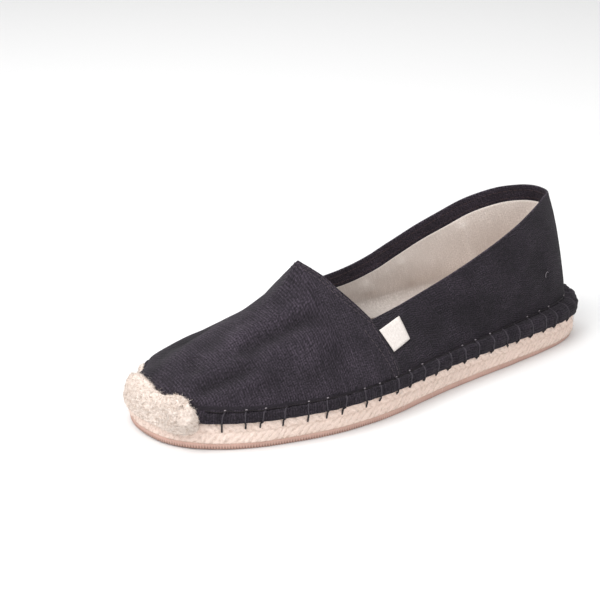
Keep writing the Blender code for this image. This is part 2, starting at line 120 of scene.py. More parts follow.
class Fold(NamedTuple):
    """A soft trough in the canvas along points in millimetres. Its depth is below 0 for a ridge."""

    width: float
    depth: float
    path: tuple[tuple[float, float, float], ...]


class CapRow(NamedTuple):
    """Rim of the toe cap: share of the way from its outer end, height up the canvas and swell."""

    across: float
    height: float
    swell: float


class Side(Enum):
    """Side of the shoe, with the sign of its y."""

    LATERAL = 1.0
    MEDIAL = -1.0


class Seed(IntEnum):
    """Seeds of the random draws and irregular fields, so that each run gives the same shoe."""

    STITCH_PLACES = 3
    STITCH_SHAPES = 5
    CANVAS_SLACK = 5
    BRAID_RELIEF = 11
    BRAID_JITTER = 13
    BRAID_GRAIN = 17
    CAP_LUMPS = 23
    CAP_WARP = 29
    CAP_ROWS = 31
    RUBBER_EDGE = 31
    CAP_CURLS = 37
    BAND_WRINKLES = 41
    LINING_SLACK = 61


def rows_of(kind: type[NamedTuple], *rows: tuple[float, ...]) -> tuple:
    """Rows of a table, with the columns of their kind."""
    return tuple(kind(*row) for row in rows)


def smoothstep(value: Array) -> Array:
    """Smooth step from 0 to 1.

    Args:
        value: Where along the step, clipped to 0 and 1.

    Returns:
        The eased value.
    """
    value = np.clip(value, 0.0, 1.0)
    return value * value * (3.0 - 2.0 * value)


def smooth_interp(where: Array, stations: Sequence[float], values: Sequence[float]) -> Array:
    """Cubic through rows of a table that never overshoots them.

    Args:
        where: Places to read.
        stations: Places of the rows.
        values: Values of the rows.

    Returns:
        The table's value at each place.
    """
    x = np.asarray(stations, float)
    y = np.asarray(values, float)
    step = np.diff(x)
    rise = np.diff(y) / step
    slope = np.zeros(len(x))
    slope[0], slope[-1] = rise[0], rise[-1]
    inner = rise[:-1] * rise[1:]
    safe = np.where(inner > 0.0, rise[:-1] + rise[1:], 1.0)
    slope[1:-1] = np.where(inner > 0.0, 2.0 * inner / safe, 0.0)
    w = np.clip(np.asarray(where, float), x[0], x[-1])
    i = np.clip(np.searchsorted(x, w) - 1, 0, len(x) - 2)
    t = (w - x[i]) / step[i]
    a = (1.0 + 2.0 * t) * (1.0 - t) ** 2 * y[i] + t * (1.0 - t) ** 2 * step[i] * slope[i]
    b = t * t * (3.0 - 2.0 * t) * y[i + 1] + t * t * (t - 1.0) * step[i] * slope[i + 1]
    return a + b


def read_table(rows: Sequence[NamedTuple], column: str, where: Array) -> Array:
    """Value of a table's named column, smooth between its rows.

    Args:
        rows: The table, ordered by its first column.
        column: Name of the column to read.
        where: Places along the first column.

    Returns:
        The column's value at each place.
    """
    return smooth_interp(where, [row[0] for row in rows], [getattr(row, column) for row in rows])


def spline(points: Array, closed: bool, steps: int = SPLINE_STEPS) -> Array:
    """Smooth curve through points.

    Args:
        points: Points to pass through.
        closed: Whether the curve joins its own start.
        steps: Pieces between two points.

    Returns:
        A dense polyline.
    """
    points = np.asarray(points, float)
    if closed:
        ends = np.vstack([points[-1:], points, points[:2]])
    else:
        ends = np.vstack([[2.0 * points[0] - points[1]], points, [2.0 * points[-1] - points[-2]]])
    dense = []
    for a, b, c, d in zip(ends[:-3], ends[1:-2], ends[2:-1], ends[3:]):
        t = (np.arange(steps) / steps)[:, None]
        square = 2.0 * a - 5.0 * b + 4.0 * c - d
        cube = 3.0 * b - a - 3.0 * c + d
        dense.append(0.5 * (2.0 * b + (c - a) * t + square * t * t + cube * t ** 3))
    if not closed:
        dense.append(points[-1:])
    return np.vstack(dense)


def lengths(path: Array) -> Array:
    """Distance along a polyline at each of its points."""
    return np.concatenate([[0.0], np.cumsum(np.linalg.norm(np.diff(path, axis=0), axis=1))])


def interp_rows(where: Array, places: Array, values: Array) -> Array:
    """Linear reading of each column of an array.

    Args:
        where: Places to read.
        places: Place of each row, rising.
        values: The rows.

    Returns:
        One row for each place read.
    """
    return np.stack([np.interp(where, places, values[:, i]) for i in range(values.shape[1])], axis=-1)


def along(path: Array, distances: Array) -> Array:
    """Points of a polyline at distances from its start.

    Args:
        path: The polyline.
        distances: Distances from its start.

    Returns:
        One point for each distance.
    """
    return interp_rows(distances, lengths(path), path)


def wobble(u: Array, v: Array, seed: int, count: int = 7) -> Array:
    """Smooth irregular field from -1 to 1, as a sum of waves in fixed directions.

    Args:
        u: First coordinate, in waves.
        v: Second coordinate, in waves.
        seed: Seed of the directions.
        count: Number of waves.

    Returns:
        The field at each place.
    """
    random = np.random.default_rng(seed)
    total = np.zeros(np.broadcast(u, v).shape)
    for _ in range(count):
        angle, phase = random.uniform(0.0, 2.0 * math.pi, 2)
        scale = random.uniform(0.6, 1.7)
        total = total + np.sin(2.0 * math.pi * scale * (u * math.cos(angle) + v * math.sin(angle)) + phase)
    return total / count * 1.6


@dataclass
class Last:
    """Shape of the foot's form: the sizes that the sole and the canvas follow."""

    sole_length: float = 0.250
    ball_width: float = 0.089
    heel_width: float = 0.060
    rubber_thickness: float = 0.0039
    rubber_inset: float = 0.0010
    toe_spring: float = 0.0010
    braid_height: float = 0.0092
    canvas_wall: float = 0.0016
    cloth_share: float = 0.72
    heel_height: float = 0.0760
    side_height: float = 0.0430
    instep_height: float = 0.0660
    collar_width: float = 0.0516
    collar_shift: float = -0.0010
    collar_back: float = 0.0175
    corner_station: float = 0.1450
    seam_foot_station: float = 0.1380
    throat_station: float = 0.1650
    throat_lateral: float = 0.0315
    throat_medial: float = 0.0245
    ridge_y: float = -0.0020
    band_height: float = 0.0085
    band_proud: float = 0.0012
    ledge_depth: float = 0.0058
    vamp_lap: float = 0.0005
    seam_step: float = 0.0006
    hem_width: float = 0.0065
    cap_thickness: float = 0.0055
    cap_lateral_reach: float = 0.0150
    cap_medial_reach: float = 0.0230
    cap_proud: float = 0.0028
    cap_tuck: float = 0.0090
    clearance: float = 0.0003
    toe_tip_share: float = -0.085
    waist_start: float = 0.30
    waist_end: float = 0.65
    medial_square: float = 0.72
    medial_round: float = 0.82
    crown_power: float = 1.2
    lean_power: float = 1.6
    corner_fade: float = 2.5
    spring_start: float = 0.8
    outline: tuple[OutlineRow, ...] = rows_of(
        OutlineRow,
        (0.012, 0.39, 0.39), (0.040, 0.68, 0.67), (0.088, 0.865, 0.845), (0.160, 0.99, 0.95),
        (0.240, 1.09, 0.99), (0.320, 1.17, 0.99), (0.400, 1.156, 0.907), (0.480, 1.108, 0.826),
        (0.560, 1.088, 0.808), (0.640, 1.070, 0.850), (0.712, 1.052, 0.917), (0.780, 0.984, 0.928),
        (0.840, 0.900, 0.865), (0.896, 0.768, 0.765), (0.940, 0.612, 0.662), (0.972, 0.425, 0.530),
        (0.992, 0.205, 0.360),
    )
    edge: tuple[EdgeRow, ...] = rows_of(
        EdgeRow,
        (0.00, 1.00, 0.88), (0.05, 1.00, 0.90), (0.15, 0.80, 0.90), (0.30, 0.50, 0.84),
        (0.50, 0.25, 0.74), (0.65, 0.12, 0.68), (0.85, 0.10, 0.60), (1.00, 0.10, 0.55),
    )
    turn: tuple[TurnRow, ...] = rows_of(
        TurnRow,
        (1.00, 0.00, 0.00), (1.12, 0.00, 0.40), (1.00, 0.02, 0.78), (0.00, 0.35, 1.02),
        (0.00, 1.00, 1.00),
    )
    collar: tuple[CollarRow, ...] = rows_of(
        CollarRow,
        (0.016, 0.25, 1.00), (0.070, 0.44, 0.995), (0.147, 0.66, 0.945), (0.264, 0.87, 0.81),
        (0.380, 0.96, 0.64), (0.496, 1.00, 0.48), (0.612, 0.99, 0.315), (0.729, 0.98, 0.165),
        (0.845, 1.01, 0.05),
    )
    ridge: tuple[RidgeRow, ...] = rows_of(
        RidgeRow,
        (0.000, 0.000, 0.75, 2.2), (0.054, 0.085, 0.72, 2.2), (0.128, 0.172, 0.66, 2.2),
        (0.275, 0.300, 0.55, 2.1), (0.423, 0.392, 0.46, 2.0), (0.620, 0.500, 0.36, 1.9),
        (0.767, 0.605, 0.30, 1.8), (0.890, 0.760, 0.26, 1.6), (0.950, 0.885, 0.25, 1.5),
        (1.000, 1.000, 0.25, 1.4), (1.300, 1.010, 0.25, 1.4),
    )
    throat: tuple[ThroatRow, ...] = rows_of(
        ThroatRow,
        (0.43, 0.50), (0.62, 0.66), (0.82, 0.87),
    )
    shift: Array = field(default_factory=lambda: np.zeros(3))

    def __post_init__(self) -> None:
        """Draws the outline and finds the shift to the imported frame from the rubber's own box."""
        self.sides = self._outline_sides()
        ring = np.vstack([self.sides[Side.LATERAL], self.sides[Side.MEDIAL][-2:0:-1]])
        self.middle = ring.mean(axis=0)
        heel_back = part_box("outsole")[0]
        columns = self.columns(60, 60)
        rubber = columns.points - columns.outward * self.rubber_inset
        low = rubber.min(axis=0)
        self.shift = np.array([heel_back.x - low[0], heel_back.y - low[1], 0.0])

    @property
    def foot_height(self) -> float:
        """Height of the canvas's lower edge, on top of the jute."""
        return self.rubber_thickness + self.braid_height

    @property
    def cloth_wall(self) -> float:
        """Thickness of the canvas that shows, thinner than the solid's wall to leave room for the lining."""
        return self.canvas_wall * self.cloth_share

    def _outline_sides(self) -> dict[Side, Array]:
        """Dense outline of each side, from heel to toe."""
        tip = (self.sole_length, self.toe_tip_share * 0.5 * self.ball_width)
        rows = {}
        for side in Side:
            name = side.name.lower()
            points = [(0.0, 0.0)]
            for row in self.outline:
                blend = smoothstep((row.station - self.waist_start) / (self.waist_end - self.waist_start))
                half = 0.5 * (self.heel_width + (self.ball_width - self.heel_width) * blend)
                points.append((row.station * self.sole_length, side.value * getattr(row, name) * half))
            rows[side] = points + [tip]
        ring = spline(rows[Side.LATERAL] + rows[Side.MEDIAL][-2:0:-1], True)
        toe = (len(rows[Side.LATERAL]) - 1) * SPLINE_STEPS
        return {Side.LATERAL: ring[: toe + 1], Side.MEDIAL: np.vstack([ring[toe:], ring[:1]])[::-1]}

    def columns(self, quarter: int, vamp: int) -> "Columns":
        """Places round the shoe, heel to toe on the outer side and back on the inner one.

        Args:
            quarter: Columns from heel to seam on each side.
            vamp: Columns from seam to toe on each side.

        Returns:
            The columns.
        """
        found = []
        arcs = []
        for side in Side:
            path = self.sides[side]
            total = lengths(path)
            widest = int(np.argmax(path[:, 0]))
            seam = float(np.interp(self.seam_foot_station, path[: widest + 1, 0], total[: widest + 1]))
            behind = np.linspace(0.0, seam, quarter + 1)
            ahead = np.linspace(seam + self.seam_step, total[-1], vamp + 1)
            arcs.append(np.concatenate([behind, ahead]))
            found.append(along(path, arcs[-1]))
        points = np.vstack([found[0], found[1][-2:0:-1]])
        whole = arcs[0][-1] + arcs[1][-1]
        arc = np.concatenate([arcs[0], whole - arcs[1][-2:0:-1]])
        around = np.roll(points, -1, axis=0) - np.roll(points, 1, axis=0)
        outward = np.stack([around[:, 1], -around[:, 0]], axis=1)
        outward /= np.linalg.norm(outward, axis=1)[:, None]
        facing = np.sign(((points - self.middle) * outward).sum(axis=1))
        return Columns(points, outward * facing[:, None], arc, whole, quarter, vamp)

    def place(self, points: Array) -> Array:
        """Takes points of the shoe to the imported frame, with the toe spring.

        Args:
            points: Points in the shoe's own sizes.

        Returns:
            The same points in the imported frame.
        """
        start = self.spring_start * self.sole_length
        share = np.clip((points[..., 0] - start) / (self.sole_length - start), 0.0, None)
        placed = points + self.shift
        placed[..., 2] += self.toe_spring * share ** 2
        return placed


@dataclass
class Columns:
    """Columns round the shoe: plan points, outward directions and arc lengths."""

    points: Array
    outward: Array
    arc: Array
    whole: float
    quarter: int
    vamp: int

    @property
    def count(self) -> int:
        """Number of columns."""
        return len(self.points)

    @property
    def seams(self) -> tuple[int, int]:
        """Last column of the quarter on the outer side and first one on the inner side."""
        return self.quarter, self.count - self.quarter

    def at(self, arc: float) -> float:
        """Fractional column at an arc length."""
        return float(np.interp(arc, np.append(self.arc, self.whole), np.arange(self.count + 1)))

    def ring(self, arcs: Array, offset: Array | float, height: Array | float) -> Array:
        """Points round the sole.

        Args:
            arcs: Arc lengths of the points.
            offset: Distance out from the outline.
            height: Height above the floor.

        Returns:
            One point for each arc length.
        """
        arc = np.append(self.arc, self.whole)
        plan = interp_rows(arcs, arc, np.vstack([self.points, self.points[:1]]))
        out = interp_rows(arcs, arc, np.vstack([self.outward, self.outward[:1]]))
        plan = plan + out * np.broadcast_to(offset, len(arcs))[:, None]
        return np.column_stack([plan, np.broadcast_to(height, len(arcs))])


@dataclass
class CanvasForm:
    """Outer face of the canvas, as a grid of columns round the shoe and rows from its foot to its top."""

    last: Last
    quarter: int = 92
    vamp: int = 104
    turn_steps: int = 4
    body_rows: int = 46
    hem_rows: int = 6
    path_steps: int = 110
    edge_rise: float = 0.0009
    stitch_jitter: float = 0.0007

    def __post_init__(self) -> None:
        """Builds the grid."""
        last = self.last
        self.columns = last.columns(self.quarter, self.vamp)
        self.station = self.columns.points[:, 0] / last.sole_length
        start = last.sole_length - np.where(
            self.columns.outward[:, 1] > 0.0, last.cap_lateral_reach, last.cap_medial_reach
        )
        self.tuck = smoothstep((self.columns.points[:, 0] - start - last.clearance) / last.cap_tuck)
        drawn = last.cap_thickness + last.clearance - last.cap_proud
        self.band = last.band_height * read_table(last.edge, "band", self.station)
        self.ledge = last.ledge_depth * read_table(last.edge, "ledge", self.station)
        self.ledge += self.tuck * (drawn + last.clearance)
        self.skirt = last.band_proud - self.tuck * (last.band_proud + drawn)
        plan = self.columns.points - self.columns.outward * self.ledge[:, None]
        self.crease = np.column_stack([plan, last.foot_height + self.band])
        self.grid = self._grid()
        self.normals = self.normals_of(self.grid)
        self.outer = self.grid + self.normals * self._steps()[:, :, None]

    @property
    def toe(self) -> int:
        """Column at the toe."""
        return self.quarter + self.vamp + 1

    @property
    def crease_row(self) -> int:
        """Row of the crease between the turned edge and the wall."""
        return (len(self.last.turn) - 1) * self.turn_steps

    def cap_span(self) -> tuple[float, float]:
        """Arc lengths of the toe cap's outer and inner end."""
        last, toe = self.last, self.toe
        x, arc = self.columns.points[:, 0], self.columns.arc
        first = np.interp(last.sole_length - last.cap_lateral_reach, x[: toe + 1], arc[: toe + 1])
        final = np.interp(last.sole_length - last.cap_medial_reach, x[toe:][::-1], arc[toe:][::-1])
        return float(first) - last.clearance, float(final) + last.clearance

    def stitch_arcs(self, pitch: float) -> Array:
        """Arc lengths of the blanket stitches, from the cap's outer end round the heel to its inner end.

        Args:
            pitch: Distance between two stitches.

        Returns:
            Arc lengths within one turn.
        """
        start, stop = self.cap_span()
        run = start + self.columns.whole - stop
        count = int(run / pitch) - 1
        random = np.random.default_rng(Seed.STITCH_PLACES)
        jitter = random.uniform(-self.stitch_jitter, self.stitch_jitter, count)
        return (start - pitch * (1.1 + np.arange(count)) + jitter) % self.columns.whole

    def vamp_height(self, x: Array, y: Array) -> Array:
        """Height of the vamp over the plan.

        Args:
            x: Stations.
            y: Offsets from the middle line.

        Returns:
            Heights above the floor.
        """
        last = self.last
        tip = self.crease[self.toe, 0]
        reach = np.clip((tip - x) / (tip - last.throat_station), 0.0, None)
        roots = np.sqrt([row.reach for row in last.ridge])
        ridge = smooth_interp(np.sqrt(reach), roots, [row.height for row in last.ridge])
        square = read_table(last.ridge, "square", reach)
        rounding = read_table(last.ridge, "rounding", reach)
        feet = []
        medial_line = np.vstack([self.crease[self.toe :], self.crease[:1]])[::-1]
        for line in (self.crease[: self.toe + 1], medial_line):
            part = line[: int(np.argmax(line[:, 0])) + 1]
            order = np.maximum.accumulate(part[:, 0])
            feet.append([np.interp(x, order, part[:, i]) for i in (1, 2)])
        lateral = y > last.ridge_y
        square = square * np.where(lateral, 1.0, last.medial_square)
        rounding = rounding * np.where(lateral, 1.0, last.medial_round)
        foot_y = np.where(lateral, feet[0][0], feet[1][0])
        base = np.where(lateral, feet[0][1], feet[1][1])
        span = np.maximum(np.abs(foot_y - last.ridge_y), 1e-6)
        across = np.minimum(np.abs(y - last.ridge_y) / span, 1.0)
        crown = (1.0 - across ** rounding) ** last.crown_power
        wall = np.sqrt(1.0 - across ** 4)
        return base + (last.instep_height - base) * ridge * ((1.0 - square) * crown + square * wall)

    def _throat(self, side: Side) -> Array:
        """One side of the throat's edge, from its corner to the ridge."""
        last = self.last
        reach = last.throat_lateral if side is Side.LATERAL else -last.throat_medial
        corner = last.ridge_y + reach
        plan = [(last.corner_station, corner)]
        for row in last.throat:
            x = last.corner_station + row.forward * (last.throat_station - last.corner_station)
            plan.append((x, corner + row.across * (last.ridge_y - corner)))
        plan.append((last.throat_station, last.ridge_y))
        mirrored = (plan[-2][0], 2.0 * last.ridge_y - plan[-2][1])
        dense = spline(np.array(plan + [mirrored]), False)[:-SPLINE_STEPS]
        heights = self.vamp_height(dense[:, 0], dense[:, 1])
        fade = 1.0 - np.linspace(0.0, 1.0, len(dense))
        heights = heights + (last.side_height - heights[0]) * fade ** last.corner_fade
        return np.column_stack([dense, heights])

    def _collar(self, side: Side, corner: Array) -> Array:
        """One side of the collar, from the heel's back to the corner of the throat."""
        last = self.last
        reach = last.corner_station - last.collar_back
        rise = last.heel_height - last.side_height
        rows = [(last.collar_back, last.collar_shift, last.heel_height)]
        for row in last.collar:
            y = last.collar_shift + side.value * row.half * 0.5 * last.collar_width
            rows.append((last.collar_back + row.station * reach, y, last.side_height + row.height * rise))
        rows.append(tuple(corner))
        mirrored = (rows[1][0], 2.0 * last.collar_shift - rows[1][1], rows[1][2])
        return spline(np.array([mirrored] + rows), False)[SPLINE_STEPS:]

    def _wall_places(self, length: float) -> Array:
        """Row places along a wall path: even up to the hem, then the hem."""
        hem = self.last.hem_width
        body = np.linspace(0.0, length - hem, self.body_rows + 1)[1:]
        return np.concatenate([body, length - hem + np.linspace(0.0, hem, self.hem_rows + 1)[1:]])

    def _turned_edge(self, column: int) -> Array:
        """Rows of one column from the lower edge, over the turned edge, to the crease."""
        points = self.columns.points[column]
        outward = self.columns.outward[column]
        rows = []
        for turn in self.last.turn:
            proud = turn.proud if turn.ledge < 0.1 else 1.0 - turn.ledge
            offset = self.skirt[column] * proud - self.ledge[column] * turn.ledge
            if turn.ledge == 1.0:
                offset = -self.ledge[column]
            plan = points + outward * offset
            height = turn.rise * self.band[column] + (1.0 - turn.rise) * self.edge_rise
            rows.append((*plan, self.last.foot_height + height))
        return spline(np.array(rows), False, self.turn_steps)

    def _grid(self) -> Array:
        """Rows of every column, before the steps in the wall."""
        count = self.columns.count
        last = self.last
        found: list[Array | None] = [None] * count
        rise = np.linspace(0.0, 1.0, self.path_steps)
        share = 1.0 - np.cos(np.linspace(0.0, 0.5 * np.pi, self.path_steps))
        for side in Side:
            throat = self._throat(side)
            collar = self._collar(side, throat[0])
            throat_places = np.linspace(0.0, lengths(throat)[-1], self.vamp + 1)
            throat_places[0] = min(last.seam_step, 0.5 * throat_places[1])
            collar_places = np.linspace(0.0, lengths(collar)[-1], self.quarter + 1)
            tops = np.vstack([along(collar, collar_places), along(throat, throat_places)])
            for step, top in enumerate(tops):
                column = step if side is Side.LATERAL else (count - step) % count
                if found[column] is not None:
                    continue
                foot = self.crease[column]
                if step <= self.quarter:
                    plan = foot[:2] + (top[:2] - foot[:2]) * (rise ** last.lean_power)[:, None]
                    heights = foot[2] + (top[2] - foot[2]) * rise
                else:
                    plan = foot[:2] + (top[:2] - foot[:2]) * share[:, None]
                    heights = self.vamp_height(plan[:, 0], plan[:, 1])
                    heights = heights + (foot[2] - heights[0]) * (1.0 - share) ** last.corner_fade
                    heights = heights + (top[2] - heights[-1]) * share ** last.corner_fade
                path = np.column_stack([plan, heights])
                wall = along(path, self._wall_places(lengths(path)[-1]))
                found[column] = np.vstack([self._turned_edge(column), wall])
        return np.array(found)

    @staticmethod
    def normals_of(grid: Array) -> Array:
        """Outward unit normals of a grid that is closed round the shoe."""
        around = np.roll(grid, -1, axis=0) - np.roll(grid, 1, axis=0)
        up = np.empty_like(grid)
        up[:, 1:-1] = grid[:, 2:] - grid[:, :-2]
        up[:, 0] = grid[:, 1] - grid[:, 0]
        up[:, -1] = grid[:, -1] - grid[:, -2]
        normals = np.cross(up, around)
        return normals / np.maximum(np.linalg.norm(normals, axis=2), TINY)[:, :, None]

    def _steps(self) -> Array:
        """Extra thickness of each grid point: the vamp laps over the quarters above the crease."""
        extra = np.zeros(self.grid.shape[:2])
        lateral, medial = self.columns.seams
        rows = np.arange(self.grid.shape[1]) - self.crease_row
        lap = self.last.vamp_lap * smoothstep(rows / 4.0)
        extra[lateral + 1 : medial] += lap[None, :]
        return extra

    def point(self, column: float, row: float) -> Array:
        """Point of the outer face at a fractional column and row.

        Args:
            column: Fractional column.
            row: Fractional row.

        Returns:
            The point in the shoe's own sizes.
        """
        return self._mix(self.outer, column, row)

    def normal(self, column: float, row: float) -> Array:
        """Outward normal at a fractional column and row."""
        found = self._mix(self.normals, column, row)
        return found / np.linalg.norm(found)

    def _mix(self, values: Array, column: float, row: float) -> Array:
        """Value of a grid at a fractional column and row."""
        count, rows = values.shape[:2]
        c = int(math.floor(column))
        r = min(max(int(math.floor(row)), 0), rows - 2)
        s, t = column - c, min(max(row - r, 0.0), 1.0)
        left = values[c % count, r] * (1.0 - t) + values[c % count, r + 1] * t
        right = values[(c + 1) % count, r] * (1.0 - t) + values[(c + 1) % count, r + 1] * t
        return left * (1.0 - s) + right * s


def link_object(name: str, data: bpy.types.ID) -> Piece:
    """Makes an object from its data and links it to the scene.

    Args:
        name: Name of the object.
        data: Its mesh, curve, light or camera.

    Returns:
        The object.
    """
    made = bpy.data.objects.new(name, data)
    bpy.context.scene.collection.objects.link(made)
    return made


def mesh_from_grid(
    name: str,
    grid: Array,
    around: bool,
    loop: bool,
    material: Material,
    uv: tuple[Array, Array] | None = None,
    lids: bool = False,
) -> Piece:
    """A mesh object from a grid of points.

    Args:
        name: Name of the piece.
        grid: Points, columns by rows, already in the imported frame.
        around: Whether the last column joins the first.
        loop: Whether the last row joins the first.
        material: Finish of the piece.
        uv: U and V of each grid point, with one more column than the grid where it closes.
        lids: Whether the first and the last row are closed by a fan each.

    Returns:
        The new object.
    """
    columns, rows = grid.shape[:2]
    c = np.arange(columns if around else columns - 1)
    r = np.arange(rows if loop else rows - 1)
    cc, rr = (a.ravel() for a in np.meshgrid(c, r, indexing="ij"))
    c2, r2 = (cc + 1) % columns, (rr + 1) % rows
    faces = np.stack([cc * rows + rr, cc * rows + r2, c2 * rows + r2, c2 * rows + rr], axis=1)[:, ::-1]
    points = grid.reshape(-1, 3)
    polygons = faces.tolist()
    if lids:
        middle = len(points)
        points = np.vstack([points, grid[:, 0].mean(axis=0), grid[:, -1].mean(axis=0)])
        for i in range(columns):
            j = (i + 1) % columns
            polygons.append((i * rows, j * rows, middle))
            polygons.append((j * rows + rows - 1, i * rows + rows - 1, middle + 1))
    mesh = bpy.data.meshes.new(name)
    mesh.from_pydata(points.tolist(), [], polygons)
    if uv is not None:
        u, v = uv
        layer = mesh.uv_layers.new(name="cloth")
        corners = []
        for ci, ri in ((cc, rr), (cc, rr + 1), (cc + 1, rr + 1), (cc + 1, rr)):
            corners.append(np.stack([u[ci, ri % rows], v[ci, ri % rows]], axis=1))
        flat = np.stack(corners, axis=1)[:, ::-1].reshape(-1, 2)
        values = np.zeros((len(mesh.loops), 2), np.float32)
        values[: len(flat)] = flat
        layer.data.foreach_set("uv", values.ravel())
    mesh.materials.append(material)
    made = link_object(name, mesh)
    face_outwards(made)
    return made


def face_outwards(made: Piece, ends: tuple[int, int] | None = None) -> None:
    """Turns the faces of a closed piece outwards, after closing the ends of a tube where it has them.

    Args:
        made: The piece.
        ends: Columns and rows of the grid that the tube was made from.
    """
    body = bmesh.new()
    body.from_mesh(made.data)
    if ends is not None:
        columns, rows = ends
        body.verts.ensure_lookup_table()
        for column in (0, columns - 1):
            body.faces.new([body.verts[column * rows + r] for r in range(rows)])
    bmesh.ops.recalc_face_normals(body, faces=body.faces[:])
    body.to_mesh(made.data)
    body.free()
    made.data.shade_smooth()


def write_attribute(made: Piece, name: str, values: Array) -> None:
    """Stores one value for each vertex.

    Args:
        made: The piece.
        name: Name of the attribute.
        values: The values, in the order of the vertices.
    """
    layer = made.data.attributes.new(name, "FLOAT", "POINT")
    layer.data.foreach_set("value", np.asarray(values, np.float32).ravel())


def hex_colour(code: str) -> tuple[float, float, float, float]:
    """Linear colour from an sRGB hex value.

    Args:
        code: Six hex digits after a hash.

    Returns:
        Linear red, green and blue, and an alpha of 1.
    """
    channels = [int(code[i : i + 2], 16) / 255.0 for i in (1, 3, 5)]
    linear = [c / 12.92 if c <= 0.04045 else ((c + 0.055) / 1.055) ** 2.4 for c in channels]
    return (*linear, 1.0)


def add_node(tree: Tree, kind: str, inputs: dict | None = None, **settings: object) -> Node:
    """Adds a node with its settings, values and links.

    Args:
        tree: Tree that takes the node.
        kind: Blender's name of the node type.
        inputs: Values or output sockets by input name or index.
        **settings: Attributes of the node.

    Returns:
        The node.
    """
    node = tree.nodes.new(kind)
    for name, value in settings.items():
        setattr(node, name, value)
    for key, value in (inputs or {}).items():
        socket = node.inputs[key]
        if isinstance(value, Socket):
            tree.links.new(value, socket)
        else:
            socket.default_value = value
    return node


def node_socket(
    tree: Tree,
    kind: str,
    inputs: dict | None = None,
    output: str | int = 0,
    **settings: object,
) -> Socket:
    """Adds a node as add_node does, and gives the output of that name or index."""
    return add_node(tree, kind, inputs, **settings).outputs[output]


def math_socket(tree: Tree, operation: str, *values: Socket | float) -> Socket:
    """Adds a Math node over its values and gives the result."""
    return node_socket(tree, "ShaderNodeMath", dict(enumerate(values)), operation=operation)


def vector_socket(tree: Tree, operation: str, inputs: dict) -> Socket:
    """Adds a Vector Math node and gives the result."""
    return node_socket(tree, "ShaderNodeVectorMath", inputs, operation=operation)


def noise_socket(
    tree: Tree,
    place: Socket,
    scale: float,
    detail: float,
    output: str | int = 0,
    extra: dict | None = None,
) -> Socket:
    """Adds a noise texture.

    Args:
        tree: Tree that takes the node.
        place: Coordinates.
        scale: Waves for each unit of them.
        detail: Number of finer layers.
        output: Output to give, the grey one when left out.
        extra: More values by input name.

    Returns:
        The output.
    """
    inputs = {"Vector": place, "Scale": scale, "Detail": detail, **(extra or {})}
    return node_socket(tree, "ShaderNodeTexNoise", inputs, output)


def range_socket(
    tree: Tree, value: Socket, source: tuple[float, float], target: tuple[float, float]
) -> Socket:
    """Maps a value from one range to another, held at both ends.

    Args:
        tree: Tree that takes the node.
        value: The value.
        source: Range that it comes from.
        target: Range that it goes to.

    Returns:
        The mapped value.
    """
    ends = ("From Min", "From Max", "To Min", "To Max")
    return node_socket(tree, "ShaderNodeMapRange", {"Value": value, **dict(zip(ends, source + target))})


def mix_socket(
    tree: Tree, share: Socket, low: Socket | str, high: Socket | str, **settings: object
) -> Socket:
    """Mixes two colours.

    Args:
        tree: Tree that takes the node.
        share: Share of the second colour.
        low: First colour, as a socket or a hex value.
        high: Second colour, likewise.
        **settings: Attributes of the node.

    Returns:
        The mixed colour.
    """
    first, second = (hex_colour(side) if isinstance(side, str) else side for side in (low, high))
    inputs = {"Factor": share, "A": first, "B": second}
    return node_socket(tree, "ShaderNodeMix", inputs, "Result", data_type="RGBA", **settings)


def cloth_and_place(tree: Tree) -> tuple[Socket, Socket]:
    """Coordinates of a material: along the cloth or strand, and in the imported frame."""
    cloth = node_socket(tree, "ShaderNodeUVMap", output="UV", uv_map="cloth")
    return cloth, node_socket(tree, "ShaderNodeTexCoord", output="Object")


def attribute_socket(tree: Tree, name: str) -> Socket:
    """Value that the piece stores at each vertex under a name."""
    return node_socket(tree, "ShaderNodeAttribute", output="Fac", attribute_name=name)


def finish_surface(
    tree: Tree, shader: Node, colour: Socket, height: Socket, strength: float, depth: float
) -> None:
    """Links a material's colour and its bump to the shader.

    Args:
        tree: Tree of the material.
        shader: Its shader.
        colour: The colour.
        height: Height of the fine relief.
        strength: Strength of the bump.
        depth: Depth of the relief.
    """
    tree.links.new(colour, shader.inputs["Base Color"])
    bump = node_socket(tree, "ShaderNodeBump", {"Height": height, "Strength": strength, "Distance": depth})
    tree.links.new(bump, shader.inputs["Normal"])


def geometry_tree(name: str, inputs: dict[str, str]) -> Tree:
    """Geometry Nodes tree with a geometry in and out.

    Args:
        name: Name of the tree.
        inputs: Kinds of the other inputs by name.

    Returns:
        The tree, with no node in it yet.
    """
    tree = bpy.data.node_groups.new(name, "GeometryNodeTree")
    for label, kind in {"Geometry": "Geometry", **inputs}.items():
        tree.interface.new_socket(label, in_out="INPUT", socket_type=f"NodeSocket{kind}")
    tree.interface.new_socket("Geometry", in_out="OUTPUT", socket_type="NodeSocketGeometry")
    return tree


@dataclass(frozen=True)
class Finish:
    """A surface of the shoe: its name and the values that its shader starts from."""

    name: str
    colour: str
    roughness: float
    sheen: float = 0.0
    specular: float = 0.2
    sheen_roughness: float = 0.5

    def material(self) -> Material:
        """Builds the material."""
        made = bpy.data.materials.new(self.name)
        made.use_nodes = True
        tree = made.node_tree
        shader = tree.nodes["Principled BSDF"]
        shader.inputs["Base Color"].default_value = hex_colour(self.colour)
        shader.inputs["Roughness"].default_value = self.roughness
        shader.inputs["Specular IOR Level"].default_value = self.specular
        shader.inputs["Sheen Weight"].default_value = self.sheen
        shader.inputs["Sheen Roughness"].default_value = self.sheen_roughness
        self.dress(tree, shader)
        return made

    def dress(self, tree: Tree, shader: Node) -> None:
        """Adds the pattern. A plain finish has none."""


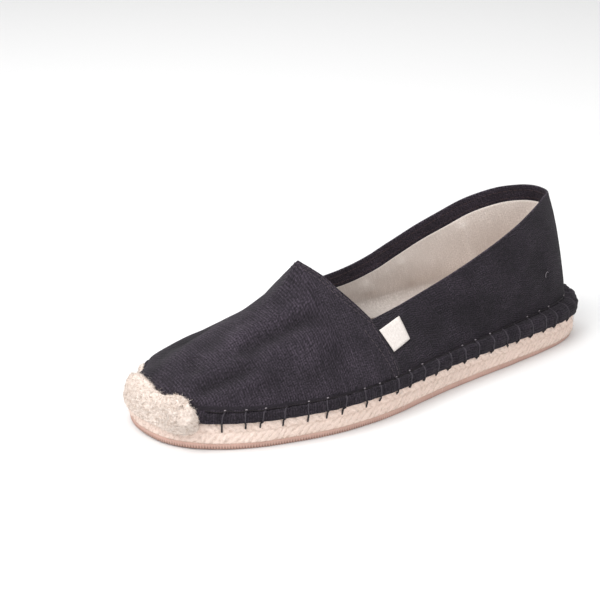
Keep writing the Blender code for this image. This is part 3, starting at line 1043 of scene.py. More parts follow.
@dataclass(frozen=True)
class Weave(Finish):
    """Plain-woven cotton: dots where threads cross, stronger ribs one way, slubs, mottling and lint.

    The real thread spacing is about 0.5 mm, which is too fine to show, so it is drawn at the pitch below.
    """

    dark: str = "#1c191c"
    pitch: float = 0.00115
    depth: float = 0.0003
    rib_share: float = 0.55
    contrast: float = 0.5
    wander: float = 0.0007
    wander_scale: float = 260.0
    slub_width: float = 0.0013
    slub_length: float = 0.012
    grain_scale: float = 1100.0
    mottle_scale: float = 60.0
    lint: str = "#8f8a8c"
    lint_amount: float = 0.0
    lint_scale: float = 130.0
    toned: bool = False

    def _ribs(self, tree: Tree, cloth: Socket) -> Socket:
        """Height of the threads, which wander a little: dots where they cross, mixed with ribs one way."""
        bent = noise_socket(tree, cloth, self.wander_scale, 2.0, "Color")
        sway = vector_socket(tree, "SUBTRACT", {0: bent, 1: (0.5, 0.5, 0.5)})
        drift = vector_socket(tree, "SCALE", {0: sway, "Scale": self.wander})
        threads_at = vector_socket(tree, "ADD", {0: cloth, 1: drift})
        axes = add_node(tree, "ShaderNodeSeparateXYZ", {0: threads_at}).outputs
        waves = []
        for axis in ("X", "Y"):
            turns = math_socket(tree, "MULTIPLY", axes[axis], math.pi / self.pitch)
            waves.append(math_socket(tree, "ABSOLUTE", math_socket(tree, "SINE", turns)))
        dots = math_socket(tree, "MULTIPLY", *waves)
        inputs = {"Factor": self.rib_share, "A": dots, "B": waves[0]}
        return node_socket(tree, "ShaderNodeMix", inputs, "Result", data_type="FLOAT")

    def _linted(self, tree: Tree, place: Socket, colour: Socket) -> Socket:
        """Colour with small specks of lint on it."""
        inputs = {"Vector": place, "Scale": self.lint_scale}
        specks = add_node(tree, "ShaderNodeTexVoronoi", inputs, feature="F1").outputs
        tiny = range_socket(tree, specks["Distance"], (0.03, 0.06), (1.0, 0.0))
        chosen = node_socket(tree, "ShaderNodeSeparateColor", {0: specks["Color"]})
        few = math_socket(tree, "LESS_THAN", chosen, self.lint_amount)
        return mix_socket(tree, math_socket(tree, "MULTIPLY", tiny, few), colour, self.lint)

    def dress(self, tree: Tree, shader: Node) -> None:
        """Adds the weave, slubs, mottling and lint."""
        cloth, place = cloth_and_place(tree)
        ribs = self._ribs(tree, cloth)
        slub_scale = (1.0 / self.slub_width, 1.0 / self.slub_length, 1.0)
        slub_place = node_socket(tree, "ShaderNodeMapping", {"Vector": cloth, "Scale": slub_scale})
        slubs = noise_socket(tree, slub_place, 1.0, 2.0)
        grain = noise_socket(tree, cloth, self.grain_scale, 2.0)
        mottle = noise_socket(tree, place, self.mottle_scale, 4.0, extra={"Roughness": 0.6})
        share = math_socket(tree, "MULTIPLY_ADD", ribs, self.contrast, 0.55 * (1.0 - self.contrast))
        for source, target in ((slubs, (0.65, 1.25)), (grain, (0.1, 1.85)), (mottle, (0.55, 1.35))):
            share = math_socket(tree, "MULTIPLY", share, range_socket(tree, source, (0.3, 0.7), target))
        colour = mix_socket(tree, share, self.dark, self.colour, clamp_factor=False)
        # The tone attribute scales the colour: panel tone with painted shade and painted light on the canvas,
        # painted shade on the lining.
        if self.toned:
            colour = vector_socket(tree, "SCALE", {0: colour, "Scale": attribute_socket(tree, "tone")})
        if self.lint_amount > 0.0:
            colour = self._linted(tree, place, colour)
        relief = math_socket(tree, "MULTIPLY_ADD", grain, 0.7, ribs)
        finish_surface(tree, shader, colour, relief, 0.8, self.depth)


@dataclass(frozen=True)
class Jute(Finish):
    """Twisted jute: pale straw fibres in fine lines along each strand, with painted shade in the gaps between
    strands.
    """

    gap: str = "#bd9d89"
    rosy: str = "#f3dbcf"
    gap_share: float = 0.6
    along: float = 260.0
    across: float = 2600.0
    fuzz_scale: float = 1400.0
    tone_scale: float = 22.0
    depth: float = 0.0004

    def dress(self, tree: Tree, shader: Node) -> None:
        """Adds fibre lines, painted shade in the gaps from the relief attribute and a slow change of tone."""
        cloth, place = cloth_and_place(tree)
        fibre_scale = (self.across, self.along, 1.0)
        fibre_place = node_socket(tree, "ShaderNodeMapping", {"Vector": cloth, "Scale": fibre_scale})
        fibres = noise_socket(tree, fibre_place, 1.0, 3.0, extra={"Distortion": 0.4})
        fuzz = noise_socket(tree, place, self.fuzz_scale, 2.0)
        pale = mix_socket(tree, noise_socket(tree, place, self.tone_scale, 2.0), self.colour, self.rosy)
        lines = range_socket(tree, fibres, (0.35, 0.75), (0.0, 0.42))
        # Painted shade: the gap colour where the relief is low, in the hollows between strands.
        low = range_socket(tree, attribute_socket(tree, "relief"), (0.0, 0.5), (self.gap_share, 0.0))
        wear_and_highlight = range_socket(tree, fuzz, (0.4, 0.65), (0.0, 0.25))
        lined = mix_socket(tree, lines, pale, self.gap)
        colour = mix_socket(tree, wear_and_highlight, mix_socket(tree, low, lined, self.gap), pale)
        relief = math_socket(tree, "MULTIPLY_ADD", fuzz, 0.8, fibres)
        finish_surface(tree, shader, colour, relief, 0.7, self.depth)


@dataclass(frozen=True)
class Rubber(Finish):
    """Vulcanised rubber: matt, faintly cloudy, with small pits from the mould and painted shade in its
    grooves.
    """

    cloudy: str = "#a97c69"
    groove: str = "#7f6257"
    pit_scale: float = 900.0
    cloud_scale: float = 60.0
    depth: float = 0.0002

    def dress(self, tree: Tree, shader: Node) -> None:
        """Adds clouds of tone, pits and painted shade in the grooves."""
        place = node_socket(tree, "ShaderNodeTexCoord", output="Object")
        cloud = noise_socket(tree, place, self.cloud_scale, 5.0, extra={"Roughness": 0.65})
        clean = mix_socket(tree, cloud, self.cloudy, self.colour)
        colour = mix_socket(tree, attribute_socket(tree, "groove"), clean, self.groove)
        pits = noise_socket(tree, place, self.pit_scale, 2.0)
        finish_surface(tree, shader, colour, pits, 0.4, self.depth)


@dataclass(frozen=True)
class Fibre(Finish):
    """Loose fibres: each a little paler or browner than the next."""

    brown: str = "#bfab9c"
    tone_scale: float = 650.0

    def dress(self, tree: Tree, shader: Node) -> None:
        """Adds the change of tone from fibre to fibre."""
        place = node_socket(tree, "ShaderNodeTexCoord", output="Object")
        noise = noise_socket(tree, place, self.tone_scale, 1.0)
        share = range_socket(tree, noise, (0.32, 0.62), (0.0, 1.0))
        tree.links.new(mix_socket(tree, share, self.brown, self.colour), shader.inputs["Base Color"])


# Black cotton canvas: a dull charcoal with a slight violet cast, ribbed and speckled, nearly no sheen
BLACK_CANVAS = Weave(
    "black_cotton_canvas", "#3b343d", 0.9, 0.03, dark="#131015", lint_amount=0.03, toned=True
)
# Undyed cotton twill lining: pale greige and matt, with painted shade from its tone, deeper towards the toe
# and down near the insole
CREAM_LINING = Weave(
    "undyed_cotton_lining",
    "#eae0d9",
    0.92,
    0.1,
    dark="#cfc3bb",
    depth=0.00005,
    rib_share=0.2,
    contrast=0.25,
    toned=True,
)
# Woven polyester tape: bright white, very flat, with fine ribs
WHITE_TAPE = Weave("woven_white_tape", "#ddd6d1", 0.85, 0.0, dark="#cdc5c0", pitch=0.0007, depth=0.00004)
# Braided jute: pale straw with a rosy cast, fibrous and rough, with painted shade between its strands
BRAIDED_JUTE = Jute("braided_jute", "#f3e3d9", 0.95, rosy="#eed6ca", gap="#b39582", gap_share=0.65)
# Wound jute at the toe: the same yarn, combed and felted, a little creamier, with painted shade in its
# hollows
WOUND_JUTE = Jute("wound_jute", "#e4d9d1", 0.95, rosy="#e5d7ce", gap="#b9a79b", gap_share=0.5)
# Natural rubber sheet: rosy tan, matt, slightly cloudy, with painted shade in its mould grooves
TAN_RUBBER = Rubber("vulcanised_rubber", "#d6b2a5", 0.62, cloudy="#b39286")
# Felted insole cotton: the lining's greige, rougher, and darker as painted shade deep in the shoe
INSOLE_COTTON = Rubber("felted_insole_cotton", "#b9ada3", 0.95, cloudy="#ab9e94", pit_scale=1500.0)
# Waxed black linen thread: blacker than the canvas, with a small shine along its twist
BLACK_THREAD = Finish("waxed_linen_thread", "#1a1418", 0.6, 0.1)
# The same thread, drawn grey where it runs from the crease over the band, as painted highlight
BAND_HIGHLIGHT_THREAD = Finish("worn_linen_thread", "#38333a", 0.6, 0.1)
# The same thread's knots in the crease, drawn pale as painted highlight
KNOT_HIGHLIGHT_THREAD = Finish("frayed_linen_thread", "#857d82", 0.8, 0.1)
# The seams' cotton thread, a little paler and browner than the canvas
SEAM_THREAD = Finish("cotton_seam_thread", "#443c41", 0.8, 0.1)
# The hem's thread, browner and darker
HEM_THREAD = Finish("cotton_hem_thread", "#3d3033", 0.8, 0.1)
# Loose jute fibres: thin pale hairs, some browner
PALE_FIBRE = Fibre("loose_jute_fibre", "#ebe1d9", 0.8)
# Pale cotton lint caught on the canvas
COTTON_LINT = Finish("cotton_lint", "#8d868b", 0.9)


@dataclass
class CanvasUpper:
    """Vamp and quarter in black canvas, hemmed at the collar, turned under at the jute, with soft folds."""

    form: CanvasForm
    stitch_pitch: float = 0.0096
    puff: float = 0.0007
    pinch: float = 0.0020
    wrinkle: float = 0.00055
    wrinkle_length: float = 0.0042
    slack: float = 0.0004
    slack_length: float = 0.045
    roll_angles: tuple[float, ...] = (30.0, 60.0, 90.0, 120.0, 150.0)
    quarter_tone: float = 0.74
    hem_tone: float = 1.25
    fold_tone: float = 0.30
    folds: tuple[Fold, ...] = (
        Fold(5.0, 1.55, ((236.0, 18.0, 23.2), (226.4, 22.6, 28.0), (219.1, 24.1, 30.2), (201.1, 25.9, 34.2))),
        Fold(6.5, 1.42, ((215.5, 14.4, 34.6), (200.0, 16.4, 38.5), (181.9, 17.9, 44.1), (163.5, 22.7, 51.1))),
        Fold(4.5, 0.94, ((224.0, 0.5, 33.3), (228.8, 13.5, 29.8))),
        Fold(8.0, 0.74, ((191.1, 40.7, 25.3), (176.6, 38.8, 30.7), (161.5, 36.3, 37.4))),
        Fold(11.0, 1.2, ((240, -14, 18), (230, -18, 26), (214, -22, 31), (196, -26, 34))),
        Fold(4.5, 0.54, ((227.2, 28.3, 23.8), (212.6, 33.7, 26.1), (193.9, 36.9, 28.4))),
        Fold(7.0, -0.68, ((222.8, 12.0, 32.6), (204.1, 7.4, 39.5), (192.8, 4.5, 43.7))),
        Fold(5.0, -0.68, ((200.2, 20.2, 37.1), (181.5, 22.4, 41.8), (170.5, 24.5, 45.9))),
        Fold(6.5, 1.08, ((226.0, -16.0, 30.0), (212.0, -20.0, 33.0), (198.0, -24.0, 34.0))),
        Fold(6.5, 0.94, ((190.0, -20.0, 38.0), (176.0, -24.0, 39.0), (165.0, -26.0, 38.0))),
        Fold(9.0, 0.68, ((120.0, 36.0, 38.0), (88.0, 31.0, 36.0), (60.0, 32.0, 32.0))),
        Fold(8.0, 0.61, ((42.0, 24.0, 60.0), (36.0, 25.0, 44.0), (30.0, 25.0, 30.0))),
        Fold(9.0, 0.81, ((110.0, -27.0, 40.0), (60.0, -28.0, 34.0))),
    )

    def __post_init__(self) -> None:
        """Works out the displaced outer face that threads and tab sit on, and its tone, with painted shade in
        the fold troughs and painted light on the ridges beside them.
        """
        form = self.form
        self.stitches = form.stitch_arcs(self.stitch_pitch)
        folds = self._fold_offsets(form.outer)
        offsets = folds + self._band_offsets() + self._slack_offsets()
        form.outer = form.outer + form.normals * offsets[:, :, None]
        form.normals = form.normals_of(form.outer)
        panel = np.full(form.outer.shape[:2], self.quarter_tone)
        lateral, medial = form.columns.seams
        panel[lateral + 1 : medial] = 1.0
        panel[:, : form.crease_row] = self.quarter_tone
        # Painted shade darkens the fold troughs and painted light lightens their ridges, through the tone.
        self.tone = panel * (1.0 + self.fold_tone * np.clip(folds / MM, -1.5, 1.0))

    def _fold_offsets(self, points: Array) -> Array:
        """Depth of the listed folds at each grid point, soft ridges beside each trough."""
        total = np.zeros(points.shape[:2])
        for fold in self.folds:
            path = np.array(fold.path) * MM
            place = lengths(path)
            best = np.full(total.shape, np.inf)
            where = np.zeros(total.shape)
            for start, end, before in zip(path[:-1], path[1:], place[:-1]):
                run = end - start
                share = np.clip(((points - start) @ run) / (run @ run), 0.0, 1.0)
                gap = np.linalg.norm(points - start - share[:, :, None] * run, axis=2)
                nearer = gap < best
                best = np.where(nearer, gap, best)
                where = np.where(nearer, (before + share * np.linalg.norm(run)) / place[-1], where)
            near = best / (fold.width * MM)
            ends = 0.1 + 0.9 * smoothstep(np.minimum(where, 1.0 - where) / 0.25)
            ridge = 0.4 * np.exp(-((near - 1.5) ** 2) * 1.8)
            total += fold.depth * MM * ends * (ridge - np.exp(-(near ** 2) * 1.6))
        return total

    def _band_offsets(self) -> Array:
        """Puff of the turned edge between two blanket stitches, with small wrinkles."""
        form = self.form
        whole = form.columns.whole
        rows = np.arange(form.outer.shape[1])
        arc = form.columns.arc[:, None]
        away = np.abs((arc - self.stitches[None, :] + 0.5 * whole) % whole - 0.5 * whole)
        pillow = 1.0 - np.exp(-((away.min(axis=1) / self.pinch) ** 2))
        belly = np.sin(np.pi * np.clip((rows + 1.0) / (form.crease_row + 1.0), 0.0, 1.0)) ** 0.6
        wrinkles = self.wrinkle * wobble(arc / self.wrinkle_length, rows[None, :] / 9.0, Seed.BAND_WRINKLES)
        loose = (1.0 - form.tuck)[:, None]
        return loose * belly[None, :] * (self.puff * (pillow[:, None] - 0.55) + wrinkles)

    def _slack_offsets(self) -> Array:
        """Slow unevenness of the wall, none at the crease and little at the collar."""
        form = self.form
        rows = np.arange(form.outer.shape[1]) - form.crease_row
        fade = smoothstep(rows / 14.0) * (1.0 - 0.6 * smoothstep((rows - form.body_rows) / form.hem_rows))
        x, y, z = np.moveaxis(form.outer, 2, 0)
        slow = wobble(x / self.slack_length, z / self.slack_length + y / 0.06, Seed.CANVAS_SLACK)
        return self.slack * slow * fade[None, :]

    def cloth_coordinates(self) -> tuple[Array, Array]:
        """Thread-true coordinates, with the strong ribs down the vamp's sides and along the quarter."""
        form = self.form
        last = form.last
        count, rows = form.outer.shape[:2]
        up = np.linalg.norm(np.diff(form.outer, axis=1), axis=2)
        climb = np.concatenate([np.zeros((count, 1)), np.cumsum(up, axis=1)], axis=1)
        u = climb.copy()
        v = np.repeat(form.columns.arc[:, None], rows, axis=1)
        lateral, medial = form.columns.seams
        part = form.outer[lateral + 1 : medial]
        x, y = part[:, :, 0], part[:, :, 1]
        from_ridge = y - last.ridge_y
        before = form.vamp_height(x, np.full_like(y, last.ridge_y))
        arc = np.zeros_like(x)
        steps = 14
        for step in range(1, steps + 1):
            level = form.vamp_height(x, last.ridge_y + from_ridge * step / steps)
            arc += np.hypot(from_ridge / steps, level - before)
            before = level
        u[lateral + 1 : medial] = x
        v[lateral + 1 : medial] = np.sign(from_ridge) * arc
        low = slice(0, form.crease_row + 2)
        u[lateral + 1 : medial, low] = form.columns.arc[lateral + 1 : medial, None]
        v[lateral + 1 : medial, low] = climb[lateral + 1 : medial, low]
        return np.vstack([u, u[:1]]), np.vstack([v, v[:1] + form.columns.whole])

    def build(self) -> Piece:
        """Closed canvas: outer face, rolled top edge, inner face and folded lower edge."""
        form = self.form
        wall = form.last.cloth_wall
        inner = form.outer - form.normals * wall
        edge, facing = form.outer[:, -1], form.normals[:, -1]
        middle = 0.5 * (edge + inner[:, -1])
        crown = np.cross(facing, np.roll(edge, -1, axis=0) - np.roll(edge, 1, axis=0))
        crown /= np.linalg.norm(crown, axis=1)[:, None]
        crown *= np.sign((crown * (edge - form.outer[:, -2])).sum(axis=1))[:, None]
        roll = []
        for turn in np.radians(self.roll_angles):
            side = facing * (math.cos(turn) * 0.5 * wall)
            roll.append(middle + side + crown * (math.sin(turn) * 0.5 * wall))
        inner[:, 0, 2] = form.outer[:, 0, 2]
        loop = np.concatenate([form.outer, np.stack(roll, axis=1), inner[:, ::-1]], axis=1)
        u, v = self.cloth_coordinates()
        uv = tuple(np.hstack([t, np.repeat(t[:, -1:], len(roll), axis=1), t[:, ::-1]]) for t in (u, v))
        made = mesh_from_grid("canvas_upper", form.last.place(loop), True, True, BLACK_CANVAS.material(), uv)
        # Painted light: the rolled edge and the inner face are drawn lighter than the outer canvas, against
        # the shade inside the shoe.
        hem = np.full((len(loop), loop.shape[1] - self.tone.shape[1]), self.hem_tone)
        write_attribute(made, "tone", np.hstack([self.tone, hem]))
        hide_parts("upper")
        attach(made, "root")
        return made


@dataclass
class Lining:
    """Cream cotton sheet inside the canvas, from the black hem down and a little way over the insole."""

    form: CanvasForm
    hem_depth: float = 0.0088
    throat_depth: float = 0.0060
    thickness: float = 0.0003
    stand_off: float = 0.00015
    foot_gap: float = 0.0070
    foot_clearance: float = 0.0004
    cover: float = 0.0130
    sill: float = 0.0003
    edge_lift: float = 0.0004
    turn_steps: int = 9
    fade: float = 0.006
    slack: float = 0.0006
    crease_width: float = 0.0022
    crease_lean: float = 0.12
    rows: int = 36
    creases: tuple[float, ...] = (0.050, 0.093, 0.118)
    shade_start: float = 0.050
    shade_run: float = 0.080
    front_shade: float = 0.34
    low_shade: float = 0.20

    def _slack(self, arcs: Array, climb: Array) -> Array:
        """How far the lining stands off the canvas: soft waves and a few upright creases on the inner side.

        Args:
            arcs: Place round the shoe.
            climb: Distance up the wall.

        Returns:
            The distance at each place.
        """
        slack = 0.5 * self.slack * (1.0 + wobble(arcs / 0.028, climb / 0.05, Seed.LINING_SLACK))
        for crease in self.creases:
            from_heel = self.form.columns.whole - crease
            near = (arcs - from_heel + self.crease_lean * climb) / self.crease_width
            slack = slack + self.slack * 2.0 * np.exp(-(near ** 2))
        return slack

    def _section(self, column: int, face: Array) -> tuple[Array, Array]:
        """Points of one column and the way they face, from the sheet's edge on the insole up to the hem.

        Args:
            column: The column.
            face: Inner face of the canvas at that column.

        Returns:
            The points, and one unit vector for each.
        """
        form, last = self.form, self.form.last
        lateral, medial = form.columns.seams
        up = np.array([0.0, 0.0, 1.0])
        outward = np.append(form.columns.outward[column], 0.0)
        path = face[form.crease_row :]
        total = lengths(path)
        depth = self.throat_depth if lateral < column < medial else self.hem_depth
        places = np.linspace(self.foot_gap, total[-1] - depth, self.rows)
        side = interp_rows(places, total, -form.normals[column, form.crease_row :])
        low_fade = smoothstep((places - self.foot_gap) / self.fade)
        high_fade = smoothstep((places[-1] - places) / self.fade)
        slack = self._slack(np.full(self.rows, form.columns.arc[column]), places) * (low_fade * high_fade)
        wall = along(path, places) + side * slack[:, None]
        crease = form.crease[column]
        corner = crease - outward * (last.canvas_wall + self.foot_clearance) + up * self.sill
        edge = crease - outward * self.cover + up * self.edge_lift
        share = np.linspace(0.0, 1.0, self.turn_steps)[:-1, None]
        low = (1.0 - share) ** 2 * edge + 2.0 * share * (1.0 - share) * corner + share ** 2 * wall[0]
        turn = (1.0 - share) * up + share * side[0]
        turn /= np.linalg.norm(turn, axis=1)[:, None]
        return np.vstack([low, wall]), np.vstack([turn, side])

    def build(self) -> Piece:
        """Thin closed shell just inside the canvas wall."""
        form, last = self.form, self.form.last
        face = form.outer - form.normals * (last.cloth_wall + self.stand_off)
        sheets, facings = zip(*(self._section(column, face[column]) for column in range(form.columns.count)))
        outer = np.array(sheets)
        inner = outer + np.array(facings) * self.thickness
        loop = np.concatenate([outer, inner[:, ::-1]], axis=1)
        rows = outer.shape[1]
        climb = np.linspace(0.0, 0.05, rows)
        u = np.repeat(form.columns.arc[:, None], 2 * rows, axis=1)
        v = np.repeat(np.concatenate([climb, climb[::-1]])[None, :], len(outer), axis=0)
        uv = (np.vstack([u, u[:1] + form.columns.whole]), np.vstack([v, v[:1]]))
        made = mesh_from_grid("cotton_lining", last.place(loop), True, True, CREAM_LINING.material(), uv)
        shade = smoothstep((loop[:, :, 0] - self.shade_start) / self.shade_run)
        shade = 1.0 - self.front_shade * shade
        low = 1.0 - smoothstep(np.arange(rows) / 16.0)
        write_attribute(made, "tone", shade * (1.0 - self.low_shade * np.append(low, low[::-1])[None, :]))
        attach(made, "root")
        return made


@dataclass
class JuteSole:
    """Side of the coiled braid: chevron strands in two rows that meet at mid height, over a plain core."""

    form: CanvasForm
    pitch: float = 0.0036
    slope: float = 0.85
    relief: float = 0.0008
    overhang: float = 0.0007
    heel_overhang: float = 0.0012
    heel_end: float = 0.085
    heel_run: float = 0.075
    tuck: float = 0.0022
    core: float = 0.0009
    unevenness: float = 0.0003
    grain: float = 0.00013
    spacing: float = 0.00055
    rows: int = 26

    @property
    def strand_width(self) -> float:
        """Width of a strand along the sole, so that a whole number of them goes round."""
        return self.form.columns.whole / round(self.form.columns.whole / self.pitch)

    def _strands(self, s: Array, z: Array, half: Array) -> tuple[Array, Array]:
        """Pattern of the braid's side.

        Args:
            s: Arc lengths, as a column.
            z: Heights from -1 at the lower edge to 1 at the upper one, as a row.
            half: Half of the braid's height at each arc length, as a column.

        Returns:
            Place across the strands, counted in strands, and their height from 0 to 1.
        """
        turn = 2.0 * np.pi * s / self.form.columns.whole
        jitter = 0.16 * np.sin(turn * 37.0) + 0.12 * np.sin(turn * 61.0)
        jitter = jitter + 0.22 * wobble(s / 0.0023, 1.5 * z, Seed.BRAID_JITTER)
        phase = (s - self.slope * np.abs(z) * half) / self.strand_width + jitter + 0.5 * (z > 0.0)
        lump = np.abs(np.cos(np.pi * phase)) ** 0.55
        each = 0.5 + 0.5 * np.sin(np.floor(phase + 0.5) * 12.9898 + (z > 0.0) * 4.1)
        ends = np.sqrt(np.clip(1.0 - np.abs(z) ** 5, 0.0, 1.0))
        seam = 1.0 - 0.55 * np.exp(-((z / 0.16) ** 2))
        return phase, lump * (0.75 + 0.25 * each) * ends * seam

    def build(self) -> Piece:
        """Closed braid body with its side displaced into strands."""
        form, last = self.form, self.form.last
        columns = form.columns
        count = int(round(columns.whole / self.spacing))
        arcs = np.arange(count) * columns.whole / count
        from_heel_end = self.heel_end - columns.ring(arcs, 0.0, 0.0)[:, 0]
        heel = smoothstep(from_heel_end / self.heel_run)
        low = last.rubber_thickness - self.overhang - self.heel_overhang * heel
        high = last.foot_height + form.edge_rise + 0.0004
        level = np.linspace(0.0, 1.0, self.rows)
        z = 2.0 * level[None, :] - 1.0
        s = arcs[:, None]
        half = 0.5 * (high - low)[:, None]
        phase, height = self._strands(s, z, half)
        offset = (height - 0.85) * self.relief - 0.0003
        slow = wobble(s / 0.03, z * 0.3, Seed.BRAID_RELIEF)
        grain = wobble(s / 0.0012, z / 0.35, Seed.BRAID_GRAIN)
        offset += self.unevenness * slow + self.grain * grain
        heights = low[:, None] + level[None, :] * (high - low)[:, None]
        skirt = np.interp(arcs, np.append(columns.arc, columns.whole), np.append(form.skirt, form.skirt[0]))
        inward = np.minimum(skirt - self.tuck, -self.tuck)
        shelf = last.rubber_thickness + 0.0001
        under = ((-0.008, shelf), (-self.core, shelf), (-self.core, low))
        cap = ((inward, high + 0.0002), (inward - 0.006, high + 0.0008))
        rows = (*under, *zip(offset.T, heights.T), *cap)
        grid = np.stack([columns.ring(arcs, out, rise) for out, rise in rows], axis=1)
        spare = ((0, 0), (len(under), len(cap)))
        # Strand height: low values get painted shade in the jute's finish and fewer hairs.
        relief = np.pad(height, spare)
        u = np.pad(phase * self.strand_width, spare, mode="edge")
        v = np.pad(np.abs(z) * half + 0.3 * s, spare, mode="edge")
        uv = (np.vstack([u, u[:1] + columns.whole]), np.vstack([v, v[:1] + 0.3 * columns.whole]))
        material = BRAIDED_JUTE.material()
        made = mesh_from_grid("jute_sole", last.place(grid), True, False, material, uv, lids=True)
        write_attribute(made, "relief", np.append(relief.ravel(), [0.0, 0.0]))
        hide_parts("midsole")
        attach(made, "root")
        return made


@dataclass
class ToeCap:
    """Jute wound and felted over the toe: a thick lumpy cuff with a lobed rim, tucked under at its ends."""

    form: CanvasForm
    rows: int = 74
    spacing: float = 0.00038
    blend: int = 9
    drop: float = 0.0050
    lift: float = 0.00025
    foot_push: float = 0.0029
    foot_pull: float = 0.0003
    belly: float = 0.0005
    tuck: float = 0.0022
    buried: float = 0.0006
    lump: float = 0.00026
    lump_size: float = 0.0062
    loops: float = 0.00034
    loop_width: float = 0.0021
    loop_height: float = 0.0023
    curl: float = 0.00030
    curl_size: float = 0.0011
    rim: tuple[CapRow, ...] = rows_of(
        CapRow,
        (0.00, 0.0020, 0.15), (0.025, 0.0060, 0.65), (0.07, 0.0080, 0.95), (0.12, 0.0094, 1.02),
        (0.18, 0.0092, 0.90), (0.26, 0.0079, 0.68), (0.34, 0.0085, 0.62), (0.45, 0.0102, 0.62),
        (0.58, 0.0096, 0.60), (0.67, 0.0072, 0.60), (0.77, 0.0034, 0.42), (0.92, 0.0028, 0.40),
        (0.97, 0.0026, 0.35), (1.00, 0.0020, 0.15),
    )

    def _relief(self, arc: float, travelled: Array) -> Array:
        """Felted surface: broad lumps, warped rows of loops and fine curls, about 0 on average.

        Args:
            arc: Place round the toe.
            travelled: Distance along the section, from its foot up over the rim.

        Returns:
            Height of each place.
        """
        def field_of(size: float, seed: Seed) -> Array:
            """Irregular field with waves of about that size."""
            return wobble(arc / size, travelled / size, seed)

        lumps = field_of(self.lump_size, Seed.CAP_LUMPS)
        wave = 0.25 * np.sin(travelled / self.curl_size)
        across = arc / self.loop_width + 0.5 * field_of(0.004, Seed.CAP_WARP) + wave
        down = travelled / self.loop_height + 0.4 * field_of(0.005, Seed.CAP_ROWS)
        stitches = np.abs(np.sin(np.pi * across)) * np.abs(np.sin(np.pi * down + 0.9 * across))
        curls = field_of(self.curl_size, Seed.CAP_CURLS)
        return self.lump * lumps + self.loops * (2.0 * stitches - 0.9) + self.curl * curls

    def _section(self, arc: float, rim: float, swell: float, skirt: float) -> tuple[Array, Array]:
        """One section of the cap, before its relief.

        Args:
            arc: Place round the toe.
            rim: Height of the rim up the canvas.
            swell: Share of the full thickness.
            skirt: How far the canvas's edge stands out there.

        Returns:
            The outer curve, from its foot over the rim, and the points hidden behind it.
        """
        form, last = self.form, self.form.last
        columns = form.columns
        column = columns.at(arc)
        plan = interp_rows(arc, columns.arc, columns.points)
        out = interp_rows(arc, columns.arc, columns.outward)
        steps = range(form.crease_row + 22)
        path = np.array([form.point(column, r) for r in steps])
        normals = np.array([form.normal(column, r) for r in steps])
        total = lengths(path)
        back = np.linspace(rim, 0.0, 8)
        inner = along(path, back) + interp_rows(back, total, normals) * self.lift
        full = min(1.0, swell)
        thick = last.cap_thickness * swell
        low = last.foot_height - self.drop * (0.35 + 0.65 * full)
        foot = np.array([*(plan + out * (self.foot_push * full - self.foot_pull)), low])
        climb = np.linspace(0.0, rim, 12)
        share = climb / rim
        bulge = thick * (0.90 + 0.30 * np.sin(0.8 * np.pi * share)) * (1.0 - 0.35 * share ** 6)
        shell = along(path, climb) + interp_rows(climb, total, normals) * bulge[:, None]
        mid = 0.5 * foot + 0.5 * shell[4]
        mid[:2] += out * self.belly * full
        top_turn = inner[0] + normals[-1] * (thick * 0.3)
        dense = spline(np.vstack([foot, mid, shell[4::3], top_turn, inner[:1]]), False, 8)
        under = np.array([
            inner[-1],
            [*(plan + out * (skirt - self.buried)), last.foot_height - self.buried],
            [*(plan - out * self.tuck), low - 0.0004],
        ])
        curve = along(dense, np.linspace(0.0, 1.0, self.rows) * lengths(dense)[-1])
        return curve, np.vstack([inner[1:-1], under])

    def _blended(self, outer: Array) -> Array:
        """Outer curves eased into their neighbours, so that the canvas's folds don't show through."""
        half = self.blend // 2
        kernel = np.hanning(self.blend + 2)[1:-1]
        padded = np.concatenate([outer[:1]] * half + [outer] + [outer[-1:]] * half)
        return sum(weight * padded[k : k + len(outer)] for k, weight in enumerate(kernel / kernel.sum()))

    def build(self) -> Piece:
        """Closed shell from the canvas, over the rim, down the front to the lower braid row."""
        form = self.form
        columns = form.columns
        start, stop = form.cap_span()
        count = int((stop - start) / self.spacing)
        arcs = np.linspace(start, stop, count)
        across = np.linspace(0.0, 1.0, count)
        rim = read_table(self.rim, "height", across)
        swell = read_table(self.rim, "swell", across)
        skirt = np.interp(arcs, columns.arc, form.skirt)
        shells, hidden = zip(*(self._section(*row) for row in zip(arcs, rim, swell, skirt)))
        outer = self._blended(np.array(shells))
        facing = np.cross(np.gradient(outer, axis=0), np.gradient(outer, axis=1))
        facing /= np.maximum(np.linalg.norm(facing, axis=2), TINY)[:, :, None]
        out = interp_rows(arcs, columns.arc, columns.outward)
        facing *= np.sign((facing[:, : self.rows // 2, :2] * out[:, None, :]).sum())
        travelled = np.array([lengths(curve) for curve in outer])
        relief = np.array([self._relief(arc, curve) for arc, curve in zip(arcs, travelled)])
        fine = np.linspace(0.0, 1.0, self.rows)
        ends = np.sqrt(np.clip(np.minimum(fine / 0.05, (1.0 - fine) / 0.08), 0.0, 1.0))
        outer = outer + facing * (relief * ends[None, :] * np.minimum(1.0, swell)[:, None])[:, :, None]
        points = np.concatenate([outer, np.array(hidden)], axis=1)
        spare = ((0, 0), (0, points.shape[1] - self.rows))
        # Relief from the hollows to the loops: low values get painted shade in the jute's finish and fewer
        # hairs.
        heights = np.pad(np.clip(0.5 + relief / 0.0016, 0.02, 1.0), spare)
        uv = (np.repeat(arcs[:, None], points.shape[1], axis=1), np.pad(travelled, spare, mode="edge"))
        material = WOUND_JUTE.material()
        made = mesh_from_grid("wound_toe_cap", form.last.place(points), False, True, material, uv)
        face_outwards(made, points.shape[:2])
        write_attribute(made, "relief", heights)
        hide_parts("toe_cap")
        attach(made, "root")
        return made


class ProfileRow(NamedTuple):
    """Profile of the rubber's side: distance out, height and how deep the mould ribs cut there."""

    offset: float
    height: float
    cut: float


